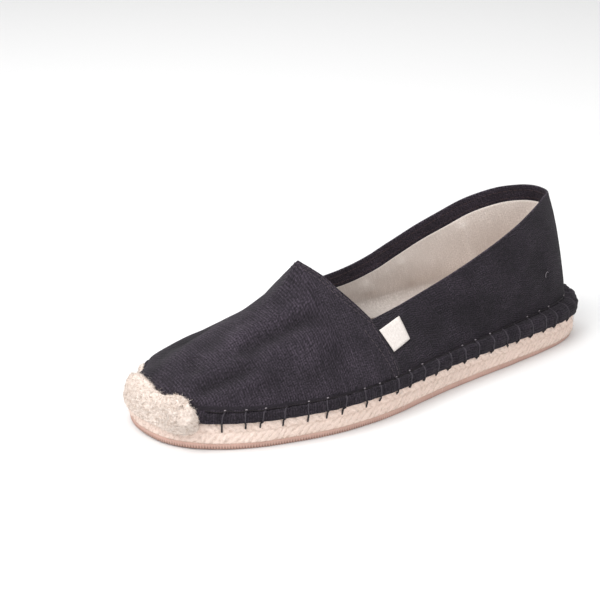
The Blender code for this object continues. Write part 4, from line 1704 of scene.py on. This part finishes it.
@dataclass
class RubberSheet:
    """Thin rubber outsole: square-cut side with fine mould ribs near its lower edge towards the toe."""

    form: CanvasForm
    rib_pitch: float = 0.0013
    rib_depth: float = 0.00045
    uneven: float = 0.00012
    spacing: float = 0.0003

    def _profile(self) -> tuple[ProfileRow, ...]:
        """Side of the sheet, from its lower face up and over to its upper one."""
        top = self.form.last.rubber_thickness
        return rows_of(
            ProfileRow,
            (-0.010, 0.0, 0.0), (-0.0016, 0.0, 1.0), (-0.00125, 0.00025, 1.0),
            (-0.0010, 0.0008, 1.0), (-0.0010, 0.0018, 0.35), (-0.0010, 0.0026, 0.0),
            (-0.0011, top - 0.0002, 0.0), (-0.0014, top, 0.0), (-0.010, top, 0.0),
        )

    def build(self) -> Piece:
        """Closed sheet with ribs cut in its lower edge."""
        last, columns = self.form.last, self.form.columns
        count = int(columns.whole / self.spacing)
        arcs = np.arange(count) * columns.whole / count
        ribs = round(columns.whole / self.rib_pitch)
        beat = 0.5 + 0.5 * np.cos(2.0 * np.pi * arcs / columns.whole * ribs)
        station = columns.ring(arcs, 0.0, 0.0)[:, 0] / last.sole_length
        front = 0.25 + 0.75 * smoothstep((station - 0.5) / 0.2)
        uneven = self.uneven * wobble(arcs / 0.02, arcs * 0.0, Seed.RUBBER_EDGE)
        profile = self._profile()
        rings = []
        for row in profile:
            offset = row.offset + uneven - row.cut * self.rib_depth * beat * front
            rings.append(columns.ring(arcs, offset, row.height))
        grid = np.stack(rings, axis=1)
        material = TAN_RUBBER.material()
        made = mesh_from_grid("rubber_sheet", last.place(grid), True, False, material, lids=True)
        # Painted shade in the mould grooves, strongest where the ribs cut deepest.
        groove_shade_mask = (beat * front)[:, None] * np.array([row.cut for row in profile])[None, :]
        write_attribute(made, "groove", np.append(groove_shade_mask.ravel(), [0.0, 0.0]))
        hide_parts("outsole")
        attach(made, "root")
        return made


@dataclass
class ThreadWork:
    """Geometry Nodes threads: blanket stitch round the jute, locking thread in the crease, seam and hem."""

    form: CanvasForm
    pitch: float = 0.0096
    radius: float = 0.00042
    knot_share: float = 0.75
    reach: float = 0.0043
    lean: float = 0.0009
    bow: float = 0.0007
    short_end: float = 0.19
    short_run: float = 0.08
    short_share: float = 0.70
    seam_gaps: tuple[tuple[float, float], ...] = ((0.0013, 0.0013), (0.0038, 0.0066))
    throat_gaps: tuple[float, ...] = (0.0012, 0.0031)
    seam_radius: float = 0.00017
    seam_lift: float = 0.00005
    throat_lift: float = 0.00006
    hem_radius: float = 0.00018
    hem_lift: float = 0.00012
    dash: float = 0.0019
    dash_gap: float = 0.0008

    def thread_tree(self) -> Tree:
        """Tree that turns paths into round thread."""
        inputs = {"Thread radius": "Float", "Step": "Float", "Thread": "Material"}
        tree = geometry_tree("thread_along_path", inputs)
        given = add_node(tree, "NodeGroupInput").outputs
        inputs = {"Curve": given["Geometry"], "Length": given["Step"]}
        path = node_socket(tree, "GeometryNodeResampleCurve", inputs, mode="LENGTH")
        inputs = {"Resolution": 7, "Radius": given["Thread radius"]}
        ring = node_socket(tree, "GeometryNodeCurvePrimitiveCircle", inputs)
        inputs = {"Curve": path, "Profile Curve": ring, "Fill Caps": True}
        tube = node_socket(tree, "GeometryNodeCurveToMesh", inputs)
        smooth = node_socket(tree, "GeometryNodeSetShadeSmooth", {"Geometry": tube})
        inputs = {"Geometry": smooth, "Material": given["Thread"]}
        add_node(tree, "NodeGroupOutput", {0: node_socket(tree, "GeometryNodeSetMaterial", inputs)})
        return tree

    def make(self, name: str, paths: Sequence[Array], radius: float, step: float, finish: Material) -> Piece:
        """A thread piece along paths.

        Args:
            name: Name of the piece.
            paths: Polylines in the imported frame.
            radius: Radius of the thread.
            step: Distance between two rings of the thread.
            finish: Material of the thread.

        Returns:
            The piece as a plain mesh.
        """
        curve = bpy.data.curves.new(name + "_path", "CURVE")
        curve.dimensions = "3D"
        for path in paths:
            line = curve.splines.new("POLY")
            line.points.add(len(path) - 1)
            line.points.foreach_set("co", np.column_stack([path, np.ones(len(path))]).ravel())
        values = {"Thread radius": radius, "Step": step, "Thread": finish}
        return freeze(link_object(name + "_path", curve), self.thread_tree(), values, name)

    def blanket_paths(self, stitches: Array) -> tuple[list[Array], list[Array], list[Array]]:
        """Each blanket stitch: out of the crease, over the band and down into the jute, with a knot on some.

        Args:
            stitches: Arc lengths of the stitches.

        Returns:
            The parts on the band, drawn grey as painted highlight, the parts below it and the knots in the
            crease, drawn pale as painted highlight.
        """
        form, last = self.form, self.form.last
        columns = form.columns
        whole = columns.whole
        random = np.random.default_rng(Seed.STITCH_SHAPES)
        wear_and_highlight, below, knots = [], [], []
        for arc in stitches:
            column = columns.at(arc)
            nearest = int(column) % columns.count
            back = smoothstep((self.short_end - columns.points[nearest][0]) / self.short_run)
            reach = self.reach * random.uniform(0.75, 1.15) * (1.0 - self.short_share * float(back))
            lean = self.lean * random.uniform(-0.2, 2.0)
            bow = self.bow * random.uniform(-0.4, 1.3)
            path = []
            for k, row in enumerate(np.linspace(form.crease_row + 0.7, 0.0, 12)):
                sway = lean * (k / 11.0) + bow * math.sin(math.pi * k / 11.0)
                place = column + sway / whole * columns.count
                path.append(form.point(place, row) + form.normal(place, row) * (0.35 * self.radius))
            foot = int(columns.at((arc + 1.6 * lean) % whole)) % columns.count
            base, out = columns.points[foot], columns.outward[foot]
            edge = last.foot_height + form.edge_rise
            down = (
                (0.0008, 0.0006),
                (0.0018, 0.0003),
                (0.6 * reach, 0.0001),
                (reach, -0.0003),
                (reach + 0.0003, -0.0016),
            )
            for drop, offset in down:
                path.append(np.array([*(base + out * offset), edge - drop]))
            placed = last.place(np.array(path))
            wear_and_highlight.append(placed[:11])
            below.append(placed[10:])
            if random.random() < self.knot_share:
                side = np.append(columns.outward[nearest][::-1] * (1.0, -1.0), 0.0) * self.radius
                rise = np.array([0.0, 0.0, self.radius])
                knots.append(placed[0] + np.array([rise - side, 1.5 * rise, side + 0.8 * rise]))
        return wear_and_highlight, below, knots

    def crease_path(self) -> Array:
        """Locking thread that lies in the crease from stitch to stitch."""
        form = self.form
        start, stop = form.cap_span()
        whole = form.columns.whole
        path = []
        for arc in np.arange(start - 0.002, stop - whole, -0.0012):
            column = form.columns.at(arc % whole)
            sway = 0.55 * math.sin(2.0 * math.pi * arc / self.pitch)
            row = form.crease_row + 0.6 + 0.35 * sway
            path.append(form.point(column, row) + form.normal(column, row) * (0.6 * self.radius))
        return form.last.place(np.array(path))

    def seam_rows(self, surface: BVHTree) -> list[Array]:
        """Machine-stitch rows beside the vamp's edges.

        Args:
            surface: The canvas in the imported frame.

        Returns:
            Lines on the canvas: two beside each seam and two round the throat.
        """
        form = self.form
        lateral, medial = form.columns.seams
        lines = []
        for column, side in ((lateral + 1, Side.LATERAL), (medial - 1, Side.MEDIAL)):
            edge = form.last.place(form.outer[column, form.crease_row + 2 : -1])
            for near, far in self.seam_gaps:
                line = []
                for share, point in zip(np.linspace(0.0, 1.0, len(edge)), edge):
                    x = point[0] + near + (far - near) * share
                    origin = Vector((x, side.value * RAY_START, point[2]))
                    hit, normal, _, _ = surface.ray_cast(origin, Vector((0.0, -side.value, 0.0)))
                    if hit is not None:
                        line.append(np.array(hit + normal * self.seam_lift))
                lines.append(np.array(line))
        for gap in self.throat_gaps:
            line = []
            for column in range(lateral + 1, medial):
                path = form.outer[column, form.crease_row :][::-1]
                facing = form.normals[column, -2]
                line.append(along(path, np.array([gap]))[0] + facing * self.throat_lift)
            lines.append(form.last.place(np.array(line)))
        return lines

    def hem_rows(self) -> list[Array]:
        """Stitch rows of the collar's hem, inside the quarter."""
        form = self.form
        lateral, medial = form.columns.seams
        places = np.arange(medial - form.columns.count, lateral + 0.01, 0.5)
        top = form.outer.shape[1] - 1
        depth = form.last.cloth_wall + self.hem_lift
        lines = []
        for row in (top - form.hem_rows - 0.6, top - 2.2):
            line = [form.point(c, row) - form.normal(c, row) * depth for c in places]
            lines.append(form.last.place(np.array(line)))
        return lines

    def dashes(self, lines: Sequence[Array]) -> list[Array]:
        """Cuts lines into stitches.

        Args:
            lines: The polylines.

        Returns:
            One short path for each stitch.
        """
        places = self.dash * np.linspace(0.0, 1.0, 4)
        found = []
        for line in lines:
            starts = np.arange(0.0, lengths(line)[-1] - self.dash, self.dash + self.dash_gap)
            found += [along(line, start + places) for start in starts]
        return found

    def build(self, upper: CanvasUpper, surface: BVHTree) -> list[Piece]:
        """All threads.

        Args:
            upper: The canvas, whose pillows the blanket stitches pinch.
            surface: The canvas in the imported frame.

        Returns:
            The pieces.
        """
        thread = BLACK_THREAD.material()
        wear_and_highlight, below, knots = self.blanket_paths(upper.stitches)
        seams = self.dashes(self.seam_rows(surface))
        hems = self.dashes(self.hem_rows())
        made = [
            self.make("blanket_stitch", below, self.radius, 0.0006, thread),
            self.make("blanket_loops", wear_and_highlight, self.radius * 0.8, 0.0006, BAND_HIGHLIGHT_THREAD.material()),
            self.make("locking_thread", [self.crease_path()], self.radius * 0.6, 0.0008, thread),
            self.make("crease_knots", knots, self.radius * 0.55, 0.0003, KNOT_HIGHLIGHT_THREAD.material()),
            self.make("seam_stitches", seams, self.seam_radius, 0.0007, SEAM_THREAD.material()),
            self.make("hem_stitches", hems, self.hem_radius, 0.0007, HEM_THREAD.material()),
        ]
        for piece in made:
            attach(piece, "root")
        return made


def freeze(carrier: Piece, tree: Tree, values: dict, name: str) -> Piece:
    """Runs a Geometry Nodes tree on a carrier and keeps the result as a plain mesh.

    Args:
        carrier: Object that holds the input.
        tree: The tree.
        values: Values by input name.
        name: Name of the piece.

    Returns:
        The piece.
    """
    modifier = carrier.modifiers.new("nodes", "NODES")
    modifier.node_group = tree
    for item in tree.interface.items_tree:
        if item.in_out == "INPUT" and item.name in values:
            modifier[item.identifier] = values[item.name]
    carrier.update_tag()
    evaluated = carrier.evaluated_get(bpy.context.evaluated_depsgraph_get())
    mesh = bpy.data.meshes.new_from_object(evaluated)
    mesh.name = name
    made = link_object(name, mesh)
    bpy.data.objects.remove(carrier, do_unlink=True)
    return made


@dataclass
class SideTab:
    """Bare white woven tape caught in the outer seam, its corners in the shoe's station and height."""

    form: CanvasForm
    corners: tuple[tuple[float, float], ...] = ((143.3, 39.1), (129.3, 41.1), (127.8, 32.1), (139.7, 30.1))
    thickness: float = 0.00045
    lift: float = 0.00025
    curl: float = 0.0004
    size: tuple[float, float] = (0.0135, 0.0105)
    steps: int = 12

    def build(self, surface: BVHTree) -> Piece:
        """Thin closed tape that lies on the canvas.

        Args:
            surface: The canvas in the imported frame, for the tape to lie on.

        Returns:
            The piece.
        """
        a, b, c, d = (np.array(corner) * MM for corner in self.corners)
        outer = np.zeros((self.steps, self.steps, 3))
        inner = np.zeros_like(outer)
        shift = self.form.last.shift
        shares = np.linspace(0.0, 1.0, self.steps)
        for i, s in enumerate(shares):
            for j, t in enumerate(shares):
                spot = (a * (1 - s) + b * s) * (1 - t) + (d * (1 - s) + c * s) * t
                origin = Vector((spot[0] + shift[0], RAY_START, spot[1]))
                hit, normal, _, _ = surface.ray_cast(origin, Vector((0.0, -1.0, 0.0)))
                if hit is None:
                    raise ValueError("the tab misses the canvas")
                curl = self.curl * s ** 3 * (0.5 + 0.5 * math.cos(math.pi * t))
                inner[i, j] = np.array(hit + normal * (self.lift + curl))
                outer[i, j] = np.array(hit + normal * (self.lift + curl + self.thickness))
        loop = np.concatenate([outer, inner[:, ::-1]], axis=1)
        width, height = self.size
        s = np.repeat(np.linspace(0.0, width, self.steps)[:, None], 2 * self.steps, axis=1)
        line = np.linspace(0.0, height, self.steps)
        t = np.repeat(np.concatenate([line, line[::-1]])[None, :], self.steps, axis=0)
        made = mesh_from_grid("white_side_tab", loop, False, True, WHITE_TAPE.material(), (s, t))
        face_outwards(made, (self.steps, 2 * self.steps))
        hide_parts("side_tab")
        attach(made, "root")
        return made


class Growth(NamedTuple):
    """A kind of hair: its name, hairs for each square metre, length, radius, lean and least share of it."""

    name: str
    density: float
    length: float
    radius: float
    lean: float
    least_lean: float


@dataclass
class LooseFibres:
    """Geometry Nodes hairs of jute that stand off the cap and the braid."""

    seed: int = 7
    bend: float = 0.55
    shortest: float = 0.45
    longest: float = 1.25
    tip: float = 0.35
    felt: Growth = Growth("cap_felt", 5.4e6, 0.0017, 0.000075, 1.55, 0.92)
    strays: Growth = Growth("cap_strays", 3.0e5, 0.0022, 0.00004, 1.15, 0.2)
    fuzz: Growth = Growth("braid_fuzz", 7.0e5, 0.0019, 0.00006, 1.45, 0.55)

    def hair_tree(self) -> Tree:
        """Tree that scatters bent, tapered hairs over a surface."""
        numbers = ("Hairs per square metre", "Hair length", "Hair radius", "Lean", "Least lean")
        inputs = {**dict.fromkeys(numbers, "Float"), "Seed": "Int", "Fibre": "Material"}
        tree = geometry_tree("jute_hairs", inputs)
        given = add_node(tree, "NodeGroupInput").outputs
        relief = node_socket(tree, "GeometryNodeInputNamedAttribute", {"Name": "relief"}, data_type="FLOAT")
        shown = math_socket(tree, "MULTIPLY", relief, given["Hairs per square metre"])
        inputs = {"Mesh": given["Geometry"], "Density": shown, "Seed": given["Seed"]}
        spots = add_node(tree, "GeometryNodeDistributePointsOnFaces", inputs).outputs
        line = node_socket(tree, "GeometryNodeCurvePrimitiveLine", {"End": (0.0, 0.0, 1.0)})
        fine = node_socket(tree, "GeometryNodeResampleCurve", {"Curve": line, "Count": 6})
        share = node_socket(tree, "GeometryNodeSplineParameter")
        bend = math_socket(tree, "MULTIPLY", math_socket(tree, "POWER", share, 2.0), self.bend)
        inputs = {"Geometry": fine, "Offset": node_socket(tree, "ShaderNodeCombineXYZ", {0: bend})}
        hair = node_socket(tree, "GeometryNodeSetPosition", inputs)
        inputs = {2: self.shortest, 3: self.longest, "Seed": given["Seed"]}
        size = node_socket(tree, "FunctionNodeRandomValue", inputs, 1, data_type="FLOAT")
        inputs = {
            "Points": spots["Points"],
            "Instance": hair,
            "Rotation": spots["Rotation"],
            "Scale": math_socket(tree, "MULTIPLY", size, given["Hair length"]),
        }
        placed = node_socket(tree, "GeometryNodeInstanceOnPoints", inputs)
        least = node_socket(tree, "ShaderNodeCombineXYZ", {0: -math.pi, 1: given["Least lean"], 2: -1.0})
        inputs = {"Min": least, "Max": (math.pi, 1.0, 1.0), "Seed": given["Seed"]}
        turn = node_socket(tree, "FunctionNodeRandomValue", inputs, data_type="FLOAT_VECTOR")
        spin = add_node(tree, "ShaderNodeSeparateXYZ", {0: turn}).outputs
        lean = math_socket(tree, "MULTIPLY", spin[1], given["Lean"])
        angles = node_socket(tree, "ShaderNodeCombineXYZ", {0: lean, 2: spin[0]})
        inputs = {"Instances": placed, "Rotation": angles}
        turned = node_socket(tree, "GeometryNodeRotateInstances", inputs)
        loose = node_socket(tree, "GeometryNodeRealizeInstances", {"Geometry": turned})
        thin = range_socket(tree, share, (0.0, 1.0), (1.0, self.tip))
        radius = math_socket(tree, "MULTIPLY", thin, given["Hair radius"])
        sized = node_socket(tree, "GeometryNodeSetCurveRadius", {"Curve": loose, "Radius": radius})
        ring = node_socket(tree, "GeometryNodeCurvePrimitiveCircle", {"Resolution": 3, "Radius": 1.0})
        inputs = {"Curve": sized, "Profile Curve": ring, "Scale": radius, "Fill Caps": True}
        tube = node_socket(tree, "GeometryNodeCurveToMesh", inputs)
        inputs = {"Geometry": tube, "Material": given["Fibre"]}
        add_node(tree, "NodeGroupOutput", {0: node_socket(tree, "GeometryNodeSetMaterial", inputs)})
        return tree

    def build(self, ground: Piece, slot: str, growth: Growth) -> Piece:
        """Hairs over one piece.

        Args:
            ground: Piece that they grow from.
            slot: Name of a material slot, not used.
            growth: How they grow.

        Returns:
            The piece.
        """
        carrier = link_object(growth.name + "_ground", ground.data.copy())
        values = {
            "Hairs per square metre": growth.density,
            "Hair length": growth.length,
            "Hair radius": growth.radius,
            "Lean": growth.lean,
            "Least lean": growth.least_lean,
            "Seed": self.seed,
            "Fibre": PALE_FIBRE.material(),
        }
        made = freeze(carrier, self.hair_tree(), values, growth.name)
        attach(made, "root")
        return made


class SoftBox(NamedTuple):
    """A square area light that points at the origin: its name, place, size and power in watts."""

    name: str
    place: tuple[float, float, float]
    size: float
    power: float


@dataclass
class Studio:
    """White table, soft light and the camera at the picture's own angle."""

    last: Last
    azimuth: float = 57.056
    elevation: float = 22.654
    roll: float = 0.357
    distance: float = 0.770
    target: tuple[float, float, float] = (0.1294, -0.0549, 0.0200)
    lens: float = 90.0
    table_size: float = 12.0
    surround: float = 0.60
    boxes: tuple[SoftBox, ...] = (
        SoftBox("key_box", (0.80, 0.10, 0.95), 0.8, 12.0),
        SoftBox("fill_box", (0.10, 1.15, 0.85), 1.1, 6.0),
        SoftBox("top_box", (-0.1, -0.3, 1.3), 1.2, 8.0),
    )

    def build(self) -> None:
        """Makes the table, the lights and the camera."""
        self._camera()
        self._table()
        self._lights()
        bpy.context.scene.view_settings.view_transform = "Standard"

    def _camera(self) -> None:
        """Camera fitted to the picture's frame."""
        a, e = math.radians(self.azimuth), math.radians(self.elevation)
        back = Vector((math.cos(e) * math.cos(a), math.cos(e) * math.sin(a), math.sin(e)))
        target = Vector(self.target) + Vector(self.last.shift)
        right = (-back).cross(Vector((0.0, 0.0, 1.0))).normalized()
        up = right.cross(-back)
        r = math.radians(self.roll)
        rolled_right = right * math.cos(r) + up * math.sin(r)
        rolled_up = -right * math.sin(r) + up * math.cos(r)
        data = bpy.data.cameras.new("picture_camera")
        data.lens = self.lens
        data.sensor_width = 36.0
        data.clip_end = 100.0
        camera = link_object("picture_camera", data)
        turn = Matrix((rolled_right, rolled_up, back)).transposed().to_4x4()
        camera.matrix_world = Matrix.Translation(target + back * self.distance) @ turn
        bpy.context.scene.camera = camera

    def _table(self) -> None:
        """Pale table under the shoe."""
        finish = Finish("white_table", "#e5e5e5", 0.9).material()
        size = self.table_size
        corners = [(-size, -size, 0.0), (size, -size, 0.0), (size, size, 0.0), (-size, size, 0.0)]
        mesh = bpy.data.meshes.new("table")
        mesh.from_pydata(corners, [], [(0, 1, 2, 3)])
        mesh.materials.append(finish)
        link_object("table", mesh)

    def _lights(self) -> None:
        """Large soft boxes and a white surround."""
        world = bpy.data.worlds.new("surround")
        world.use_nodes = True
        shader = world.node_tree.nodes["Background"]
        shader.inputs["Color"].default_value = (1.0, 1.0, 1.0, 1.0)
        shader.inputs["Strength"].default_value = self.surround
        bpy.context.scene.world = world
        for box in self.boxes:
            data = bpy.data.lights.new(box.name, "AREA")
            data.size = box.size
            data.energy = box.power
            lamp = link_object(box.name, data)
            lamp.location = box.place
            lamp.rotation_euler = (-Vector(box.place)).to_track_quat("-Z", "Y").to_euler()


def bvh_of(made: Piece) -> BVHTree:
    """Ray-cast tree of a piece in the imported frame."""
    mesh = made.data
    return BVHTree.FromPolygons([v.co for v in mesh.vertices], [tuple(p.vertices) for p in mesh.polygons])


def log_piece(made: Piece) -> None:
    """Logs a piece and its triangles."""
    mesh = made.data
    triangles = sum(len(p.vertices) - 2 for p in mesh.polygons)
    LOG.info("%s: %d triangles", made.name, triangles)


def dress_insole() -> None:
    """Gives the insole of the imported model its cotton."""
    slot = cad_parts["insole"].material_slots[0]
    slot.link = "OBJECT"
    slot.material = INSOLE_COTTON.material()


@dataclass
class Lint:
    """A small curl of lint on the outer quarter near the heel."""

    last: Last
    station: float = 0.0314
    height: float = 0.0390
    half_width: float = 0.0011
    half_height: float = 0.0016
    start: float = -60.0
    sweep: float = 190.0
    lift: float = 0.0002
    rise: float = 0.0003
    radius: float = 0.00013

    def path(self, surface: BVHTree) -> Array:
        """Curl that lifts off the canvas.

        Args:
            surface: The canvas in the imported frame.

        Returns:
            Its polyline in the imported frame.
        """
        path = []
        for turn in np.linspace(0.0, 1.0, 9):
            angle = math.radians(self.start + self.sweep * turn)
            x = self.station + self.last.shift[0] + self.half_width * math.cos(angle)
            z = self.height + self.half_height * math.sin(angle)
            hit, normal, _, _ = surface.ray_cast(Vector((x, RAY_START, z)), Vector((0.0, -1.0, 0.0)))
            path.append(np.array(hit + normal * (self.lift + self.rise * turn)))
        return np.array(path)

    def build(self, surface: BVHTree, work: ThreadWork) -> Piece:
        """The curl as a thread.

        Args:
            surface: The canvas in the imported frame.
            work: Maker of threads.

        Returns:
            The piece.
        """
        made = work.make("canvas_lint", [self.path(surface)], self.radius, 0.0004, COTTON_LINT.material())
        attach(made, "root")
        return made


def main() -> None:
    """Builds every piece in order."""
    last = Last()
    form = CanvasForm(last)
    upper = CanvasUpper(form)
    canvas = upper.build()
    surface = bvh_of(canvas)
    sole = JuteSole(form).build()
    wound = ToeCap(form).build()
    pieces = [canvas, sole, wound, Lining(form).build(), RubberSheet(form).build()]
    work = ThreadWork(form, pitch=upper.stitch_pitch)
    pieces += work.build(upper, surface)
    pieces += [Lint(last).build(surface, work), SideTab(form).build(surface)]
    hairs = LooseFibres()
    pieces += [hairs.build(wound, "wound_jute", growth) for growth in (hairs.felt, hairs.strays)]
    pieces.append(hairs.build(sole, "braided_jute", hairs.fuzz))
    for piece in pieces:
        log_piece(piece)
    dress_insole()
    Studio(last).build()


if __name__ == "__main__":
    main()
